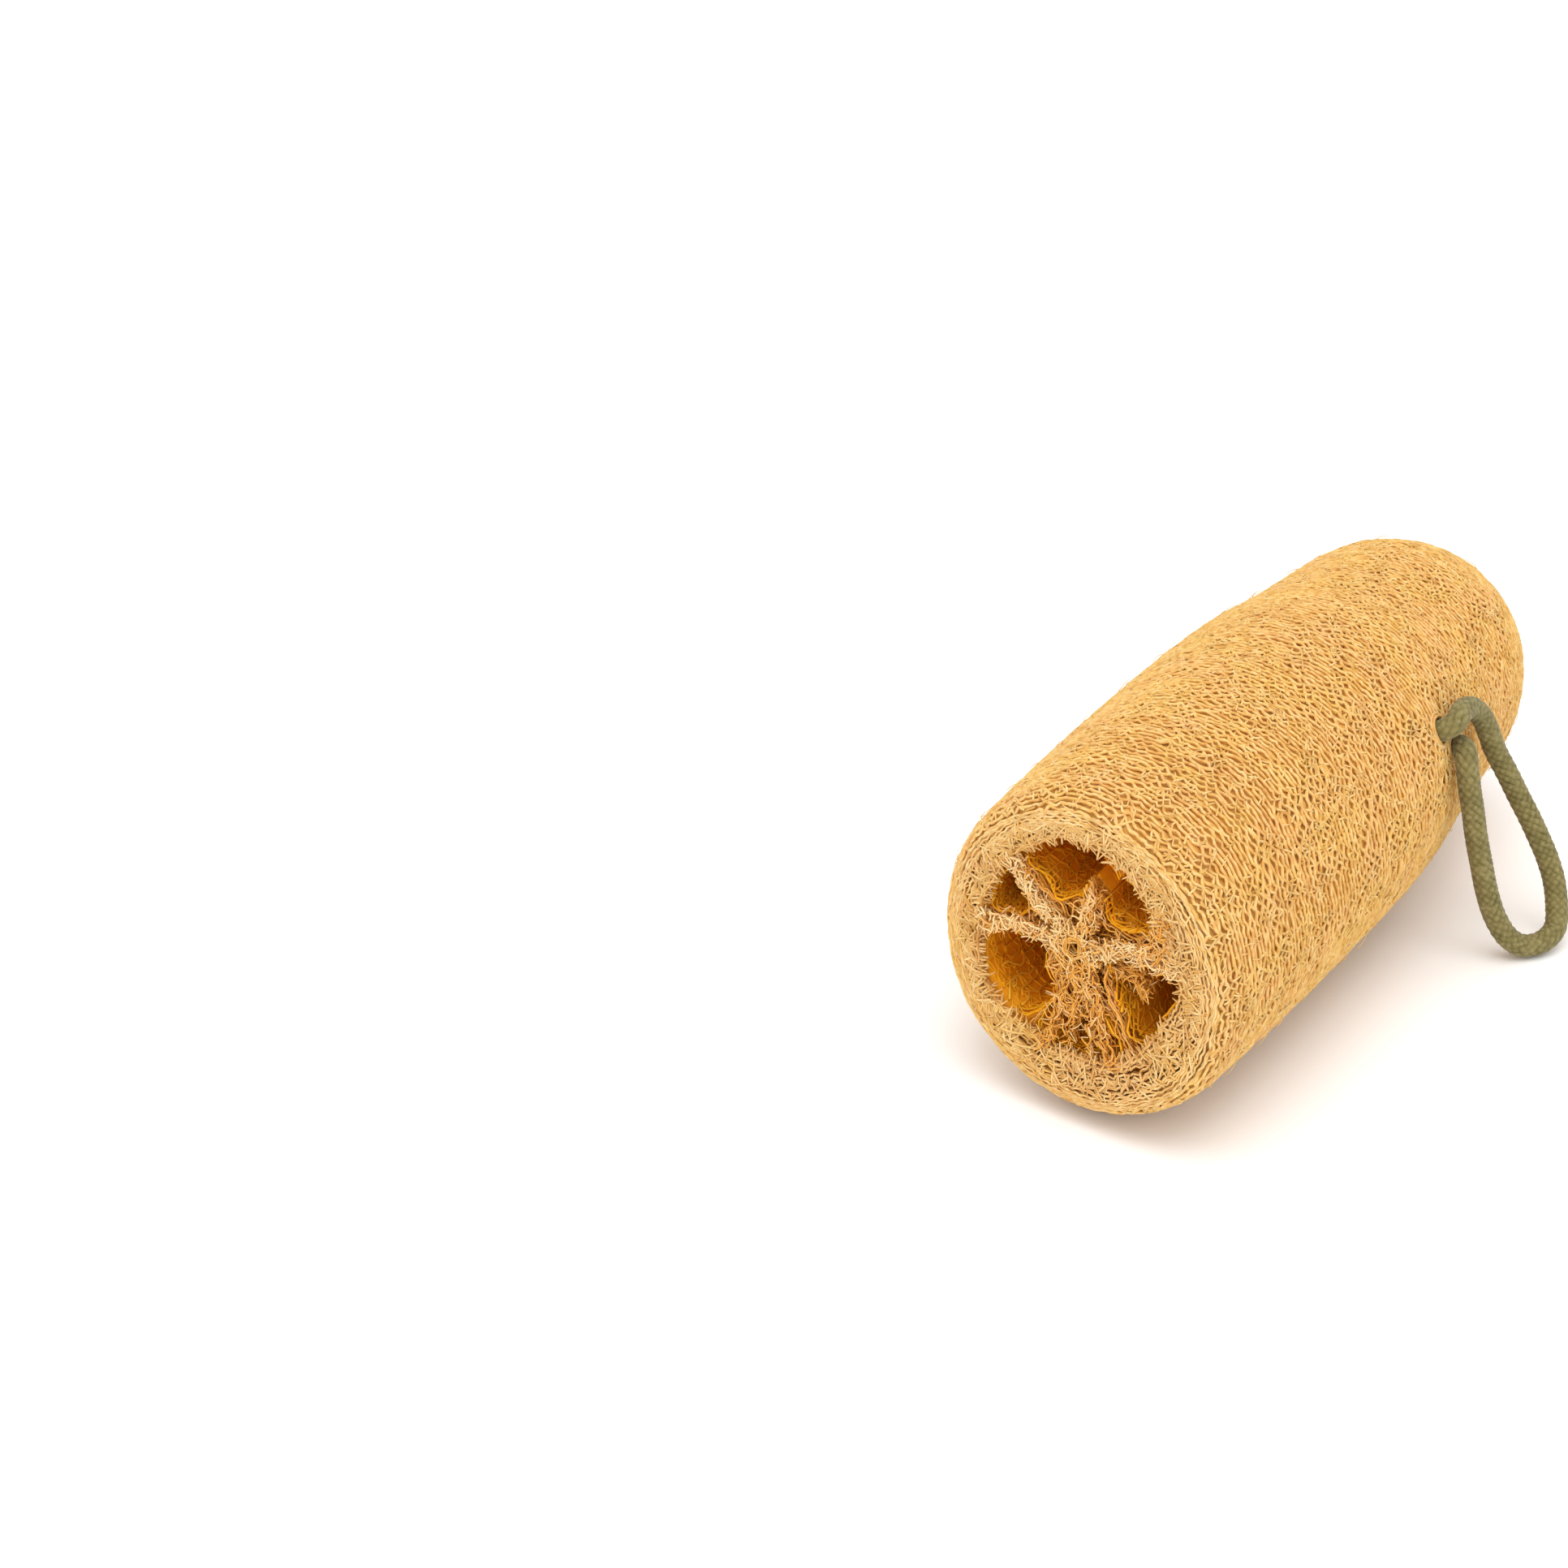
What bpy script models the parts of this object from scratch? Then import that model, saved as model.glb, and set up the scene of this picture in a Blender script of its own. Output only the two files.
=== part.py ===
# Natural loofah sponge: the dried fibre skeleton of a whole gourd, cut square-ish
# at the front, closed by its own dome at the back, with a braided hanging loop.
# Metres, +Z up. The sponge lies along Y on a narrow flat of its underside, and
# its cut end faces -Y. The cord comes out of its +X side.

import math

import bmesh
import bpy
from mathutils import Matrix, Vector

MM = 0.001
WELD_DISTANCE = 0.00001
CURVE_STEPS = 12

# Sponge, all in millimetres
AXIS_HEIGHT = 30.95
FRONT_Y = -80.15
BACK_Y = 84.85
FACE_TURN = math.radians(-10.0)
FACE_TILT = math.radians(2.1)
COLUMNS = 60
SIDE_ROWS = 62

# Raised net on the side, larger than life
PIT_DEPTH = 1.4
PIT_WALL_STEEPNESS = 1.7
COLUMNS_PER_PIT = 6
ROWS_PER_PIT = 4
PLAIN_ROWS = 3
PLAIN_TIP_RADIUS = 6.0
PLAIN_UNDERSIDE = math.radians(14.4)
FADE_UNDERSIDE = math.radians(24.0)

# Cut face, radius and depth behind its rim
FACE_PROFILE = [(0.0, 1.2), (7.0, 1.2), (14.0, 1.1), (20.5, 0.8), (24.0, 0.2)]

# Side, radius and distance behind the rim, from the rim round to the stem scar
SIDE_PROFILE = [
    (26.2, 0.0), (28.4, 1.2), (29.6, 4.0), (30.1, 8.3), (30.6, 20.0), (31.2, 37.0),
    (31.6, 60.0), (31.7, 82.0), (31.2, 95.0), (30.2, 105.0), (28.9, 116.0),
    (27.9, 128.0), (27.2, 138.0), (25.9, 146.0), (22.6, 154.5), (18.0, 159.8),
    (12.5, 163.0), (7.0, 164.6), (2.8, 165.0), (0.0, 164.0),
]

# Seed chambers as they open at the cut face: outlines as (x, height above axis)
CHAMBERS = {
    "top": [(-13.6, 15.8), (-10.1, 19.8), (-6.0, 21.5), (-0.9, 21.9), (2.4, 20.6),
            (1.6, 16.9), (-0.3, 13.9), (-1.3, 10.9), (-5.6, 9.0), (-9.6, 11.6)],
    "upper_right": [(4.6, 16.4), (8.7, 16.8), (12.0, 15.6), (13.4, 12.2), (12.9, 9.2),
                    (10.6, 7.9), (7.0, 7.6), (3.9, 8.7), (2.5, 10.9), (2.9, 13.8)],
    "lower_right": [(5.5, 2.9), (9.6, 4.1), (13.4, 2.4), (16.8, 2.7), (20.2, 1.8),
                    (19.1, -1.0), (16.6, -4.7), (15.4, -7.9), (13.0, -12.3),
                    (10.4, -11.6), (8.2, -7.0), (4.9, -1.8)],
    "left": [(-21.2, -0.9), (-18.5, 1.0), (-14.0, 0.6), (-8.0, 0.4), (-8.4, -3.8),
             (-6.0, -7.4), (-7.4, -11.6), (-11.5, -14.6), (-15.4, -13.3),
             (-19.1, -9.5), (-20.8, -5.7)],
    "upper_left": [(-18.9, 9.6), (-16.8, 11.3), (-13.6, 11.2), (-11.3, 8.2),
                   (-12.7, 4.6), (-16.3, 2.9), (-19.2, 3.4), (-19.8, 6.0)],
    "bottom": [(-4.4, -11.3), (-1.1, -11.9), (1.1, -9.4), (3.6, -11.2), (5.6, -14.6),
               (2.1, -17.8), (-2.7, -17.9), (-6.6, -16.0)],
}
CHAMBER_DEPTHS = {
    "top": 118.0, "upper_right": 114.0, "lower_right": 124.0,
    "left": 118.0, "upper_left": 52.0, "bottom": 46.0,
}
CHAMBER_STAGES = [(0.0, 1.0), (0.25, 1.0), (0.5, 1.02), (0.78, 1.02), (0.89, 0.96), (0.96, 0.7), (1.0, 0.35)]
CHAMBER_TWIST_PER_MM = math.radians(0.06)
MOUTH_CLEARANCE = 12.0

# Hanging cord: 4.4 mm braid, both ends drawn through the wall into one stopper knot
CORD_DIAMETER = 4.4
CORD_GAP = 0.3
CORD_POINTS = 62
CORD_BEVEL_RESOLUTION = 2
KNOT_CENTRE = (11.8, 17.0, 29.1)
KNOT_RADIUS = 4.6
KNOT_SUBDIVISIONS = 3
HOLE_OVERRUN = 24.0

# Hand-chosen route, knot to knot: out of the wall, down the near leg, along the
# table, up the far leg, over the near leg's root and back through the wall
CORD_ROUTE = [
    (20.2, 22.4, 32.6), (24.5, 21.2, 36.0), (28.2, 18.6, 38.7), (31.0, 15.9, 40.4),
    (32.8, 13.7, 40.2), (33.8, 12.5, 37.8), (34.8, 12.0, 33.9), (35.8, 11.8, 30.1),
    (37.0, 11.6, 24.9), (38.4, 11.7, 19.6), (39.8, 12.0, 14.2), (41.5, 12.8, 9.1),
    (43.8, 14.2, 4.8), (46.3, 16.3, 2.6), (48.9, 19.5, 2.6), (50.0, 23.3, 4.2),
    (48.8, 26.6, 7.4), (47.1, 28.7, 11.3), (45.2, 29.5, 15.0), (43.5, 29.4, 18.3),
    (41.1, 29.2, 22.6), (38.8, 28.9, 26.4), (36.3, 28.1, 31.2), (34.0, 27.3, 35.4),
    (32.8, 26.4, 38.9), (31.8, 25.0, 42.4), (30.9, 23.0, 44.9), (30.3, 20.3, 46.4),
    (30.3, 16.8, 47.0), (30.6, 13.9, 46.5), (29.2, 12.4, 45.0), (26.0, 12.0, 43.4),
    (21.9, 12.0, 41.0), (17.6, 12.8, 37.8),
]

FIBRE_COLOUR = (0.80, 0.52, 0.21)
FIBRE_ROUGHNESS = 0.85
BRAID_COLOUR = (0.27, 0.24, 0.11)
BRAID_ROUGHNESS = 0.9


def clear_scene():
    for existing in list(bpy.data.objects):
        bpy.data.objects.remove(existing, do_unlink=True)


def make_collection(name):
    collection = bpy.data.collections.new(name)
    bpy.context.scene.collection.children.link(collection)
    return collection


def make_material(name, colour, roughness):
    material = bpy.data.materials.new(name)
    material.use_nodes = True
    shader = material.node_tree.nodes["Principled BSDF"]
    shader.inputs["Base Color"].default_value = (*colour, 1.0)
    shader.inputs["Roughness"].default_value = roughness
    shader.inputs["Metallic"].default_value = 0.0
    return material


def smooth_through(points):
    # A smooth curve that passes through every point it is given
    knots = [Vector(p) for p in points]
    knots.insert(0, knots[0] * 2 - knots[1])
    knots.append(knots[-1] * 2 - knots[-2])
    path = []
    for a, b, c, d in zip(knots, knots[1:], knots[2:], knots[3:]):
        for step in range(CURVE_STEPS):
            t = step / CURVE_STEPS
            path.append(0.5 * (2 * b + (c - a) * t + (2 * a - 5 * b + 4 * c - d) * t * t
                               + (3 * b - a - 3 * c + d) * t * t * t))
    path.append(knots[-2])
    return path


def evenly_spaced(path, count):
    # The same path, read at equal distances along it
    lengths = [0.0]
    for a, b in zip(path, path[1:]):
        lengths.append(lengths[-1] + (b - a).length)
    spaced = []
    segment = 0
    for index in range(count):
        target = lengths[-1] * index / (count - 1)
        while segment < len(path) - 2 and lengths[segment + 1] < target:
            segment += 1
        share = (target - lengths[segment]) / (lengths[segment + 1] - lengths[segment])
        spaced.append(path[segment].lerp(path[segment + 1], share))
    return spaced


def as_mesh_object(source, name, collection):
    # The evaluated object as a plain mesh of its own, in place, and the source removed
    graph = bpy.context.evaluated_depsgraph_get()
    mesh = bpy.data.meshes.new_from_object(source.evaluated_get(graph))
    mesh.transform(source.matrix_world)
    work = bmesh.new()
    work.from_mesh(mesh)
    bmesh.ops.remove_doubles(work, verts=work.verts, dist=WELD_DISTANCE)
    work.to_mesh(mesh)
    work.free()
    bpy.data.objects.remove(source, do_unlink=True)
    result = bpy.data.objects.new(name, mesh)
    collection.objects.link(result)
    return result


def turned_body(collection):
    # The profile stands with the cut face on top, and is turned about Z
    side = evenly_spaced(smooth_through([(r, y, 0.0) for r, y in SIDE_PROFILE]), SIDE_ROWS)
    profile = [(r, y) for r, y in FACE_PROFILE] + [(p.x, p.y) for p in side]
    profile[-1] = (0.0, profile[-1][1])
    mesh = bpy.data.meshes.new("sponge_profile")
    vertices = [(r * MM, 0.0, -(FRONT_Y + y) * MM) for r, y in profile]
    edges = [(i, i + 1) for i in range(len(profile) - 1)]
    mesh.from_pydata(vertices, edges, [])
    turned = bpy.data.objects.new("sponge_profile", mesh)
    collection.objects.link(turned)
    screw = turned.modifiers.new("turn", "SCREW")
    screw.axis = "Z"
    screw.angle = math.tau
    screw.steps = COLUMNS
    screw.render_steps = COLUMNS
    screw.use_merge_vertices = True
    screw.merge_threshold = WELD_DISTANCE
    bpy.context.view_layer.update()
    body = as_mesh_object(turned, "sponge", collection)
    lay_along_y = Matrix.Translation((0.0, 0.0, AXIS_HEIGHT * MM)) @ Matrix.Rotation(math.pi / 2, 4, "X")
    body.data.transform(lay_along_y)
    return body, [p.y + FRONT_Y for p in side]


def row_at(y, row_places):
    # Which row of the net a distance along the sponge falls in, as a real number
    for row, (low, high) in enumerate(zip(row_places, row_places[1:])):
        if low <= y <= high and high > low:
            return row + (y - low) / (high - low)
    return None


def raise_net(body, row_places):
    # Long pits in staggered rows between the strands of the net, half as wide and half
    # as high as their spacing. They end short of the rim and the stem scar, and fade out
    # on the underside that it rests on
    for vertex in body.data.vertices:
        x = vertex.co.x / MM
        y = vertex.co.y / MM
        height = vertex.co.z / MM - AXIS_HEIGHT
        radius = math.hypot(x, height)
        row = row_at(y, row_places)
        if row is None or row < PLAIN_ROWS or radius < PLAIN_TIP_RADIUS:
            continue
        angle = math.atan2(x, height)
        column = angle / math.tau * COLUMNS
        wave = math.cos(column * math.tau / COLUMNS_PER_PIT) * math.cos(row * math.tau / ROWS_PER_PIT)
        fade = min(1.0, max(0.0, (math.pi - abs(angle) - PLAIN_UNDERSIDE) / FADE_UNDERSIDE))
        sink = PIT_DEPTH * min(1.0, max(0.0, wave) * PIT_WALL_STEEPNESS) * fade
        vertex.co.x = x * (radius - sink) / radius * MM
        vertex.co.z = (AXIS_HEIGHT + height * (radius - sink) / radius) * MM


def slant_cut_face(body):
    # The knife went through about ten degrees off square: the near half leans with it
    half_way = (FRONT_Y + BACK_Y) / 2
    for vertex in body.data.vertices:
        share = min(1.0, max(0.0, (half_way - vertex.co.y / MM) / (half_way - FRONT_Y)))
        height = vertex.co.z - AXIS_HEIGHT * MM
        vertex.co.y += share * (vertex.co.x * math.tan(FACE_TURN) + height * math.tan(FACE_TILT))


def flatten_underside(body):
    for vertex in body.data.vertices:
        vertex.co.z = max(0.0, vertex.co.z)


def hide_cutter(cutter):
    cutter.hide_render = True
    cutter.display_type = "WIRE"


def chamber_cutter(name, outline, depth, collection):
    # The outline grows backwards in stages, twisting round the axis and closing in
    mouth_y = FRONT_Y - MOUTH_CLEARANCE
    centre = Vector((sum(x for x, _ in outline), 0.0, sum(z for _, z in outline))) / len(outline)
    work = bmesh.new()
    corners = [work.verts.new((x * MM, mouth_y * MM, (AXIS_HEIGHT + z) * MM)) for x, z in outline]
    face = work.faces.new(corners)
    for share, scale in CHAMBER_STAGES:
        grown = bmesh.ops.extrude_discrete_faces(work, faces=[face])
        face = grown["faces"][0]
        distance = share * depth
        turn = Matrix.Rotation(-CHAMBER_TWIST_PER_MM * distance, 3, "Y")
        for corner, (x, z) in zip(face.verts, outline):
            shrunk = centre + (Vector((x, 0.0, z)) - centre) * scale
            place = turn @ shrunk
            corner.co = Vector((place.x, FRONT_Y + distance, AXIS_HEIGHT + place.z)) * MM
    bmesh.ops.recalc_face_normals(work, faces=work.faces)
    mesh = bpy.data.meshes.new(name)
    work.to_mesh(mesh)
    work.free()
    cutter = bpy.data.objects.new(name, mesh)
    collection.objects.link(cutter)
    hide_cutter(cutter)
    return cutter


def cord_path():
    # From the knot's face round the whole loop and back to the knot's face
    centre = Vector(KNOT_CENTRE)
    reach = KNOT_RADIUS + CORD_GAP
    route = [Vector(p) for p in CORD_ROUTE]
    route.insert(0, centre + (route[0] - centre).normalized() * reach)
    route.append(centre + (route[-1] - centre).normalized() * reach)
    return evenly_spaced(smooth_through(route), CORD_POINTS)


def tube(name, path, diameter, collection):
    curve = bpy.data.curves.new(name, "CURVE")
    curve.dimensions = "3D"
    curve.bevel_depth = diameter / 2 * MM
    curve.bevel_resolution = CORD_BEVEL_RESOLUTION
    curve.use_fill_caps = True
    spline = curve.splines.new("POLY")
    spline.points.add(len(path) - 1)
    for point, place in zip(spline.points, path):
        point.co = (*(place * MM), 1.0)
    made = bpy.data.objects.new(name, curve)
    collection.objects.link(made)
    bpy.context.view_layer.update()
    return made


def stretch_of(path, distance):
    # The first stretch of a path, up to a distance along it
    kept = [path[0]]
    travelled = 0.0
    for a, b in zip(path, path[1:]):
        travelled += (b - a).length
        kept.append(b)
        if travelled > distance:
            break
    return kept


def cord_hole_cutter(name, path, collection):
    wide = CORD_DIAMETER + 2 * CORD_GAP
    drill = tube(name + "_route", stretch_of(path, HOLE_OVERRUN), wide, collection)
    cutter = as_mesh_object(drill, name, collection)
    hide_cutter(cutter)
    return cutter


def stopper_knot(collection):
    work = bmesh.new()
    bmesh.ops.create_icosphere(work, subdivisions=KNOT_SUBDIVISIONS, radius=KNOT_RADIUS * MM)
    bmesh.ops.translate(work, verts=work.verts, vec=Vector(KNOT_CENTRE) * MM)
    mesh = bpy.data.meshes.new("stopper_knot")
    work.to_mesh(mesh)
    work.free()
    knot = bpy.data.objects.new("stopper_knot", mesh)
    collection.objects.link(knot)
    return knot


def cut(body, cutter):
    boolean = body.modifiers.new("cut " + cutter.name, "BOOLEAN")
    boolean.operation = "DIFFERENCE"
    boolean.solver = "EXACT"
    boolean.object = cutter


def build():
    clear_scene()
    parts = make_collection("loofah_sponge")
    cutters = make_collection("cutters")
    fibre = make_material("dried loofah fibre", FIBRE_COLOUR, FIBRE_ROUGHNESS)
    braid = make_material("braided cotton cord", BRAID_COLOUR, BRAID_ROUGHNESS)

    sponge, row_places = turned_body(parts)
    raise_net(sponge, row_places)
    slant_cut_face(sponge)
    flatten_underside(sponge)
    for name, outline in CHAMBERS.items():
        cut(sponge, chamber_cutter("chamber_" + name, outline, CHAMBER_DEPTHS[name], cutters))

    path = cord_path()
    cut(sponge, cord_hole_cutter("hole_near_leg", path, cutters))
    cut(sponge, cord_hole_cutter("hole_far_leg", path[::-1], cutters))
    sponge.data.materials.append(fibre)

    cord = tube("hanging_cord", path, CORD_DIAMETER, parts)
    cord.data.materials.append(braid)
    knot = stopper_knot(parts)
    knot.data.materials.append(braid)
    knot.data.shade_smooth()


build()
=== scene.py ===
import math

import bmesh
import bpy
import numpy as np
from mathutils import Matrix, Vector


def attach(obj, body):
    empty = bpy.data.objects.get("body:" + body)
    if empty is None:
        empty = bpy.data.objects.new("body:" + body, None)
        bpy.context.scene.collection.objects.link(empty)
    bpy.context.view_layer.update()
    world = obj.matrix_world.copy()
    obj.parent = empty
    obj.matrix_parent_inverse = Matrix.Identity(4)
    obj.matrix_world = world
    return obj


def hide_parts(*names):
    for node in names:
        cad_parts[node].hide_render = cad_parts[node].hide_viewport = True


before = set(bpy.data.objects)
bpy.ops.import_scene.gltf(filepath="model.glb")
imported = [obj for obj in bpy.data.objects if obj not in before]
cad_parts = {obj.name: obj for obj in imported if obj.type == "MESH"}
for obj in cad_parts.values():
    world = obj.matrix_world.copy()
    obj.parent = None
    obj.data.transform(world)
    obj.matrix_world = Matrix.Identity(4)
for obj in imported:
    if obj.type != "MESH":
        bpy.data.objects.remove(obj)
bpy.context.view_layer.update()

mm = 0.001
rng = np.random.default_rng(11)

# The sponge's own frame, as the part has it: axis along Y, cut end towards -Y
sponge = {
    "axisHeight": 30.95,
    "frontY": -80.15,
    "backY": 84.85,
    "faceTurn": math.radians(-10.0),
    "faceTilt": math.radians(2.1),
    "face": [(0.0, 1.2), (7.0, 1.2), (14.0, 1.1), (20.5, 0.8), (24.0, 0.2)],
    "side": [(26.2, 0.0), (28.4, 1.2), (29.6, 4.0), (30.1, 8.3), (30.6, 20.0), (31.2, 37.0),
             (31.6, 60.0), (31.7, 82.0), (31.2, 95.0), (30.2, 105.0), (28.9, 116.0),
             (27.9, 128.0), (27.2, 138.0), (25.9, 146.0), (22.6, 154.5), (18.0, 159.8),
             (12.5, 163.0), (7.0, 164.6), (2.8, 165.0), (0.0, 164.0)],
    "lineStep": 0.25,     # mm between samples of the turned outline
    "lowerRimTuck": 0.045,      # share that the rim's underside is drawn in
    "tuckLength": 14.0,
    "farLean": (-0.4, 0.5),     # mm, how far the far end leans in x and in height
    "leanFrom": 80.0,
    "leanTo": 150.0,
}


def hexColour(code):
    # sRGB hex to the linear colour that a shader socket takes
    parts = [int(code[i:i + 2], 16) / 255 for i in (0, 2, 4)]
    linear = [c / 12.92 if c <= 0.04045 else ((c + 0.055) / 1.055) ** 2.4 for c in parts]
    return (*linear, 1.0)


def addNode(tree, kind, settings=None, links=None):
    # One shader node: settings go to its sockets or its own fields, links come from other sockets
    node = tree.nodes.new(kind)
    for key, value in (settings or {}).items():
        if isinstance(key, int) or key in node.inputs:
            node.inputs[key].default_value = value
        else:
            setattr(node, key, value)
    for key, source in (links or {}).items():
        tree.links.new(source, node.inputs[key])
    return node


def newMaterial(name):
    material = bpy.data.materials.new(name)
    material.use_nodes = True
    tree = material.node_tree
    tree.nodes.clear()
    shader = addNode(tree, "ShaderNodeBsdfPrincipled")
    addNode(tree, "ShaderNodeOutputMaterial", links={"Surface": shader.outputs[0]})
    return material, tree, shader


def smoothThrough(points, steps=12, closed=False):
    # A smooth curve that passes through every point it is given
    knots = [Vector(p) for p in points]
    if closed:
        knots = [knots[-1]] + knots + [knots[0], knots[1]]
    else:
        knots = [knots[0] * 2 - knots[1]] + knots + [knots[-1] * 2 - knots[-2]]
    path = []
    for a, b, c, d in zip(knots, knots[1:], knots[2:], knots[3:]):
        for step in range(steps):
            t = step / steps
            path.append(0.5 * (2 * b + (c - a) * t + (2 * a - 5 * b + 4 * c - d) * t * t
                               + (3 * b - a - 3 * c + d) * t * t * t))
    if not closed:
        path.append(knots[-2])
    return np.array([tuple(p) for p in path])


def evenlySpaced(path, step):
    # The same path read at equal distances of about one step
    gaps = np.linalg.norm(np.diff(path, axis=0), axis=1)
    lengths = np.concatenate([[0.0], np.cumsum(gaps)])
    places = np.linspace(0.0, lengths[-1], max(2, round(lengths[-1] / step) + 1))
    return np.stack([np.interp(places, lengths, path[:, axis]) for axis in range(path.shape[1])], axis=1)


def link(mesh, name):
    made = bpy.data.objects.new(name, mesh)
    bpy.context.scene.collection.objects.link(made)
    return made


def bevelledCurve(name, radius, resolution):
    # An empty curve whose lines become capped tubes, radius in mm; resolution 0 gives four sides
    curve = bpy.data.curves.new(name, "CURVE")
    curve.dimensions = "3D"
    curve.bevel_depth = radius * mm
    curve.bevel_resolution = resolution
    curve.use_fill_caps = True
    return curve


def addLine(curve, points, radii=1.0, closed=False):
    # One line on a curve, through points in metres; radii are shares of the curve's own radius
    spline = curve.splines.new("POLY")
    spline.points.add(len(points) - 1)
    spline.points.foreach_set("co", np.concatenate([points, np.ones((len(points), 1))], axis=1).ravel())
    spline.points.foreach_set("radius", np.broadcast_to(radii, len(points)).astype(float))
    spline.use_cyclic_u = closed


def meshOf(piece):
    # The piece's mesh with its modifiers applied; the piece itself is taken away
    graph = bpy.context.evaluated_depsgraph_get()
    mesh = bpy.data.meshes.new_from_object(piece.evaluated_get(graph))
    bpy.data.objects.remove(piece, do_unlink=True)
    return mesh


def weld(mesh, distance):
    # Joins the corners that lie closer than the distance, in metres
    work = bmesh.new()
    work.from_mesh(mesh)
    bmesh.ops.remove_doubles(work, verts=work.verts, dist=distance)
    work.to_mesh(mesh)
    work.free()


def meshFrom(work, name):
    mesh = bpy.data.meshes.new(name)
    work.to_mesh(mesh)
    work.free()
    return mesh


def addValues(mesh, name, values):
    # One number for each corner, which the material reads
    mesh.attributes.new(name, "FLOAT", "POINT").data.foreach_set("value", values)


def finishPiece(piece, slotName, *nodes):
    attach(piece, "root")
    if nodes:
        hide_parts(*nodes)
    corners = sum(len(face.vertices) - 2 for face in piece.data.polygons)
    print(f"{piece.name}: {corners} triangles")
    return piece


# The turned outline, from the middle of the cut face over the rim and along to the stem scar
outlinePoints = [(r, y, 0.0) for r, y in sponge["face"] + sponge["side"]]
turnedLine = evenlySpaced(smoothThrough(outlinePoints)[:, :2], sponge["lineStep"])
lineLengths = np.concatenate([[0.0], np.cumsum(np.linalg.norm(np.diff(turnedLine, axis=0), axis=1))])
lineSlopes = np.gradient(turnedLine, axis=0)
lineSlopes /= np.linalg.norm(lineSlopes, axis=1)[:, None]
lineEnd = lineLengths[-1]
faceRadii, faceDepths = zip(*sponge["face"])
rimCrest = int(np.argmax(turnedLine[:, 0] > 28.4))


def lengthAtRadius(radius):
    # How far along the outline the cut face, or the rim round it, reaches a radius
    return np.interp(radius, turnedLine[:rimCrest, 0], lineLengths[:rimCrest])


def asGrown(x, height, behind):
    # The gourd isn't quite round: the cut rim's underside is drawn in and the far end leans
    low = np.clip((-height - 16.0) / 12.0, 0.0, 1.0) * np.exp(-np.maximum(behind, 0.0) / sponge["tuckLength"])
    drawn = 1.0 - sponge["lowerRimTuck"] * low
    lean = np.clip((behind - sponge["leanFrom"]) / (sponge["leanTo"] - sponge["leanFrom"]), 0.0, 1.0)
    lean = lean * lean * (3.0 - 2.0 * lean)
    return x * drawn + sponge["farLean"][0] * lean, height * drawn + sponge["farLean"][1] * lean


def slant(x, height, behind):
    # How far the slanted cut moves a point along the sponge
    share = np.clip(1.0 - behind / ((sponge["backY"] - sponge["frontY"]) / 2), 0.0, 1.0)
    return share * (x * math.tan(sponge["faceTurn"]) + height * math.tan(sponge["faceTilt"]))


def onSponge(t, angle, depth=0.0, floorGap=0.0):
    # Metres, from the length along the turned outline, the angle from +X and the depth under the skin
    t, angle, depth = np.broadcast_arrays(np.asarray(t, float), angle, depth)
    radius = np.interp(t, lineLengths, turnedLine[:, 0])
    behind = np.interp(t, lineLengths, turnedLine[:, 1])
    slopeR = np.interp(t, lineLengths, lineSlopes[:, 0])
    slopeY = np.interp(t, lineLengths, lineSlopes[:, 1])
    radius = radius - depth * slopeY
    behind = behind + depth * slopeR
    x, height = asGrown(radius * np.cos(angle), radius * np.sin(angle), behind)
    y = sponge["frontY"] + behind + slant(x, height, behind)
    z = np.maximum(sponge["axisHeight"] + height, floorGap)
    return np.stack([x, y, z], axis=-1) * mm


def onFace(places, depth):
    # Metres, from places (x, height) on the cut face and the depth behind it
    behind = np.interp(np.hypot(places[:, 0], places[:, 1]), faceRadii, faceDepths) + depth
    x, height = asGrown(places[:, 0], places[:, 1], behind)
    y = sponge["frontY"] + behind + slant(x, height, behind)
    return np.stack([x, y, sponge["axisHeight"] + height], axis=-1) * mm


def waves(count, roundMax, alongMax, size):
    # A smooth random field round and along the sponge, the same at both ends of a turn
    turns = rng.integers(-roundMax, roundMax + 1, count)
    along = rng.uniform(-1.0, 1.0, count) * alongMax
    phase = rng.uniform(0.0, math.tau, count)
    scale = size / math.sqrt(count / 2)
    return lambda angle, t: scale * sum(
        np.sin(turns[i] * angle + along[i] * t + phase[i]) for i in range(count))


def drift(count, size):
    # A smooth random wander that starts and ends at nothing
    walk = np.convolve(np.cumsum(rng.normal(0.0, 1.0, count + 2)), np.ones(3) / 3, "valid")
    walk -= np.linspace(walk[0], walk[-1], count)
    return size * walk / math.sqrt(count)


def fibreObject(name, fibres, material):
    # Four-sided fibres, each (points in metres, radii in mm, closed, tone), as one welded mesh
    curve = bevelledCurve(name, 1.0, 0)
    caps = []
    sides = []
    for points, radii, closed, tone in fibres:
        addLine(curve, points, radii, closed)
        tone = np.broadcast_to(tone, len(points))
        sides.append(np.repeat(tone, 4))
        if not closed:
            caps.append(np.repeat([tone[-1], tone[0]], 4))
    mesh = meshOf(link(curve, name + "Source"))
    tones = np.concatenate(caps[::-1] + sides)        # the caps come first, last fibre first
    addValues(mesh, "tone", np.clip(tones, 0.0, 1.0))
    weld(mesh, 0.0000005)
    mesh.materials.append(material)
    mesh.shade_smooth()
    return link(mesh, name)


# Camera and cord first: both are tied to the photograph's view

camera = {
    "position": (232.2, -574.95, 328.0),     # mm
    "azimuth": math.radians(30.38),
    "elevation": math.radians(25.78),
    "focalPixels": 4500.0,
    "imagePixels": 1932.0,
    "sensor": 36.0,
}

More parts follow.
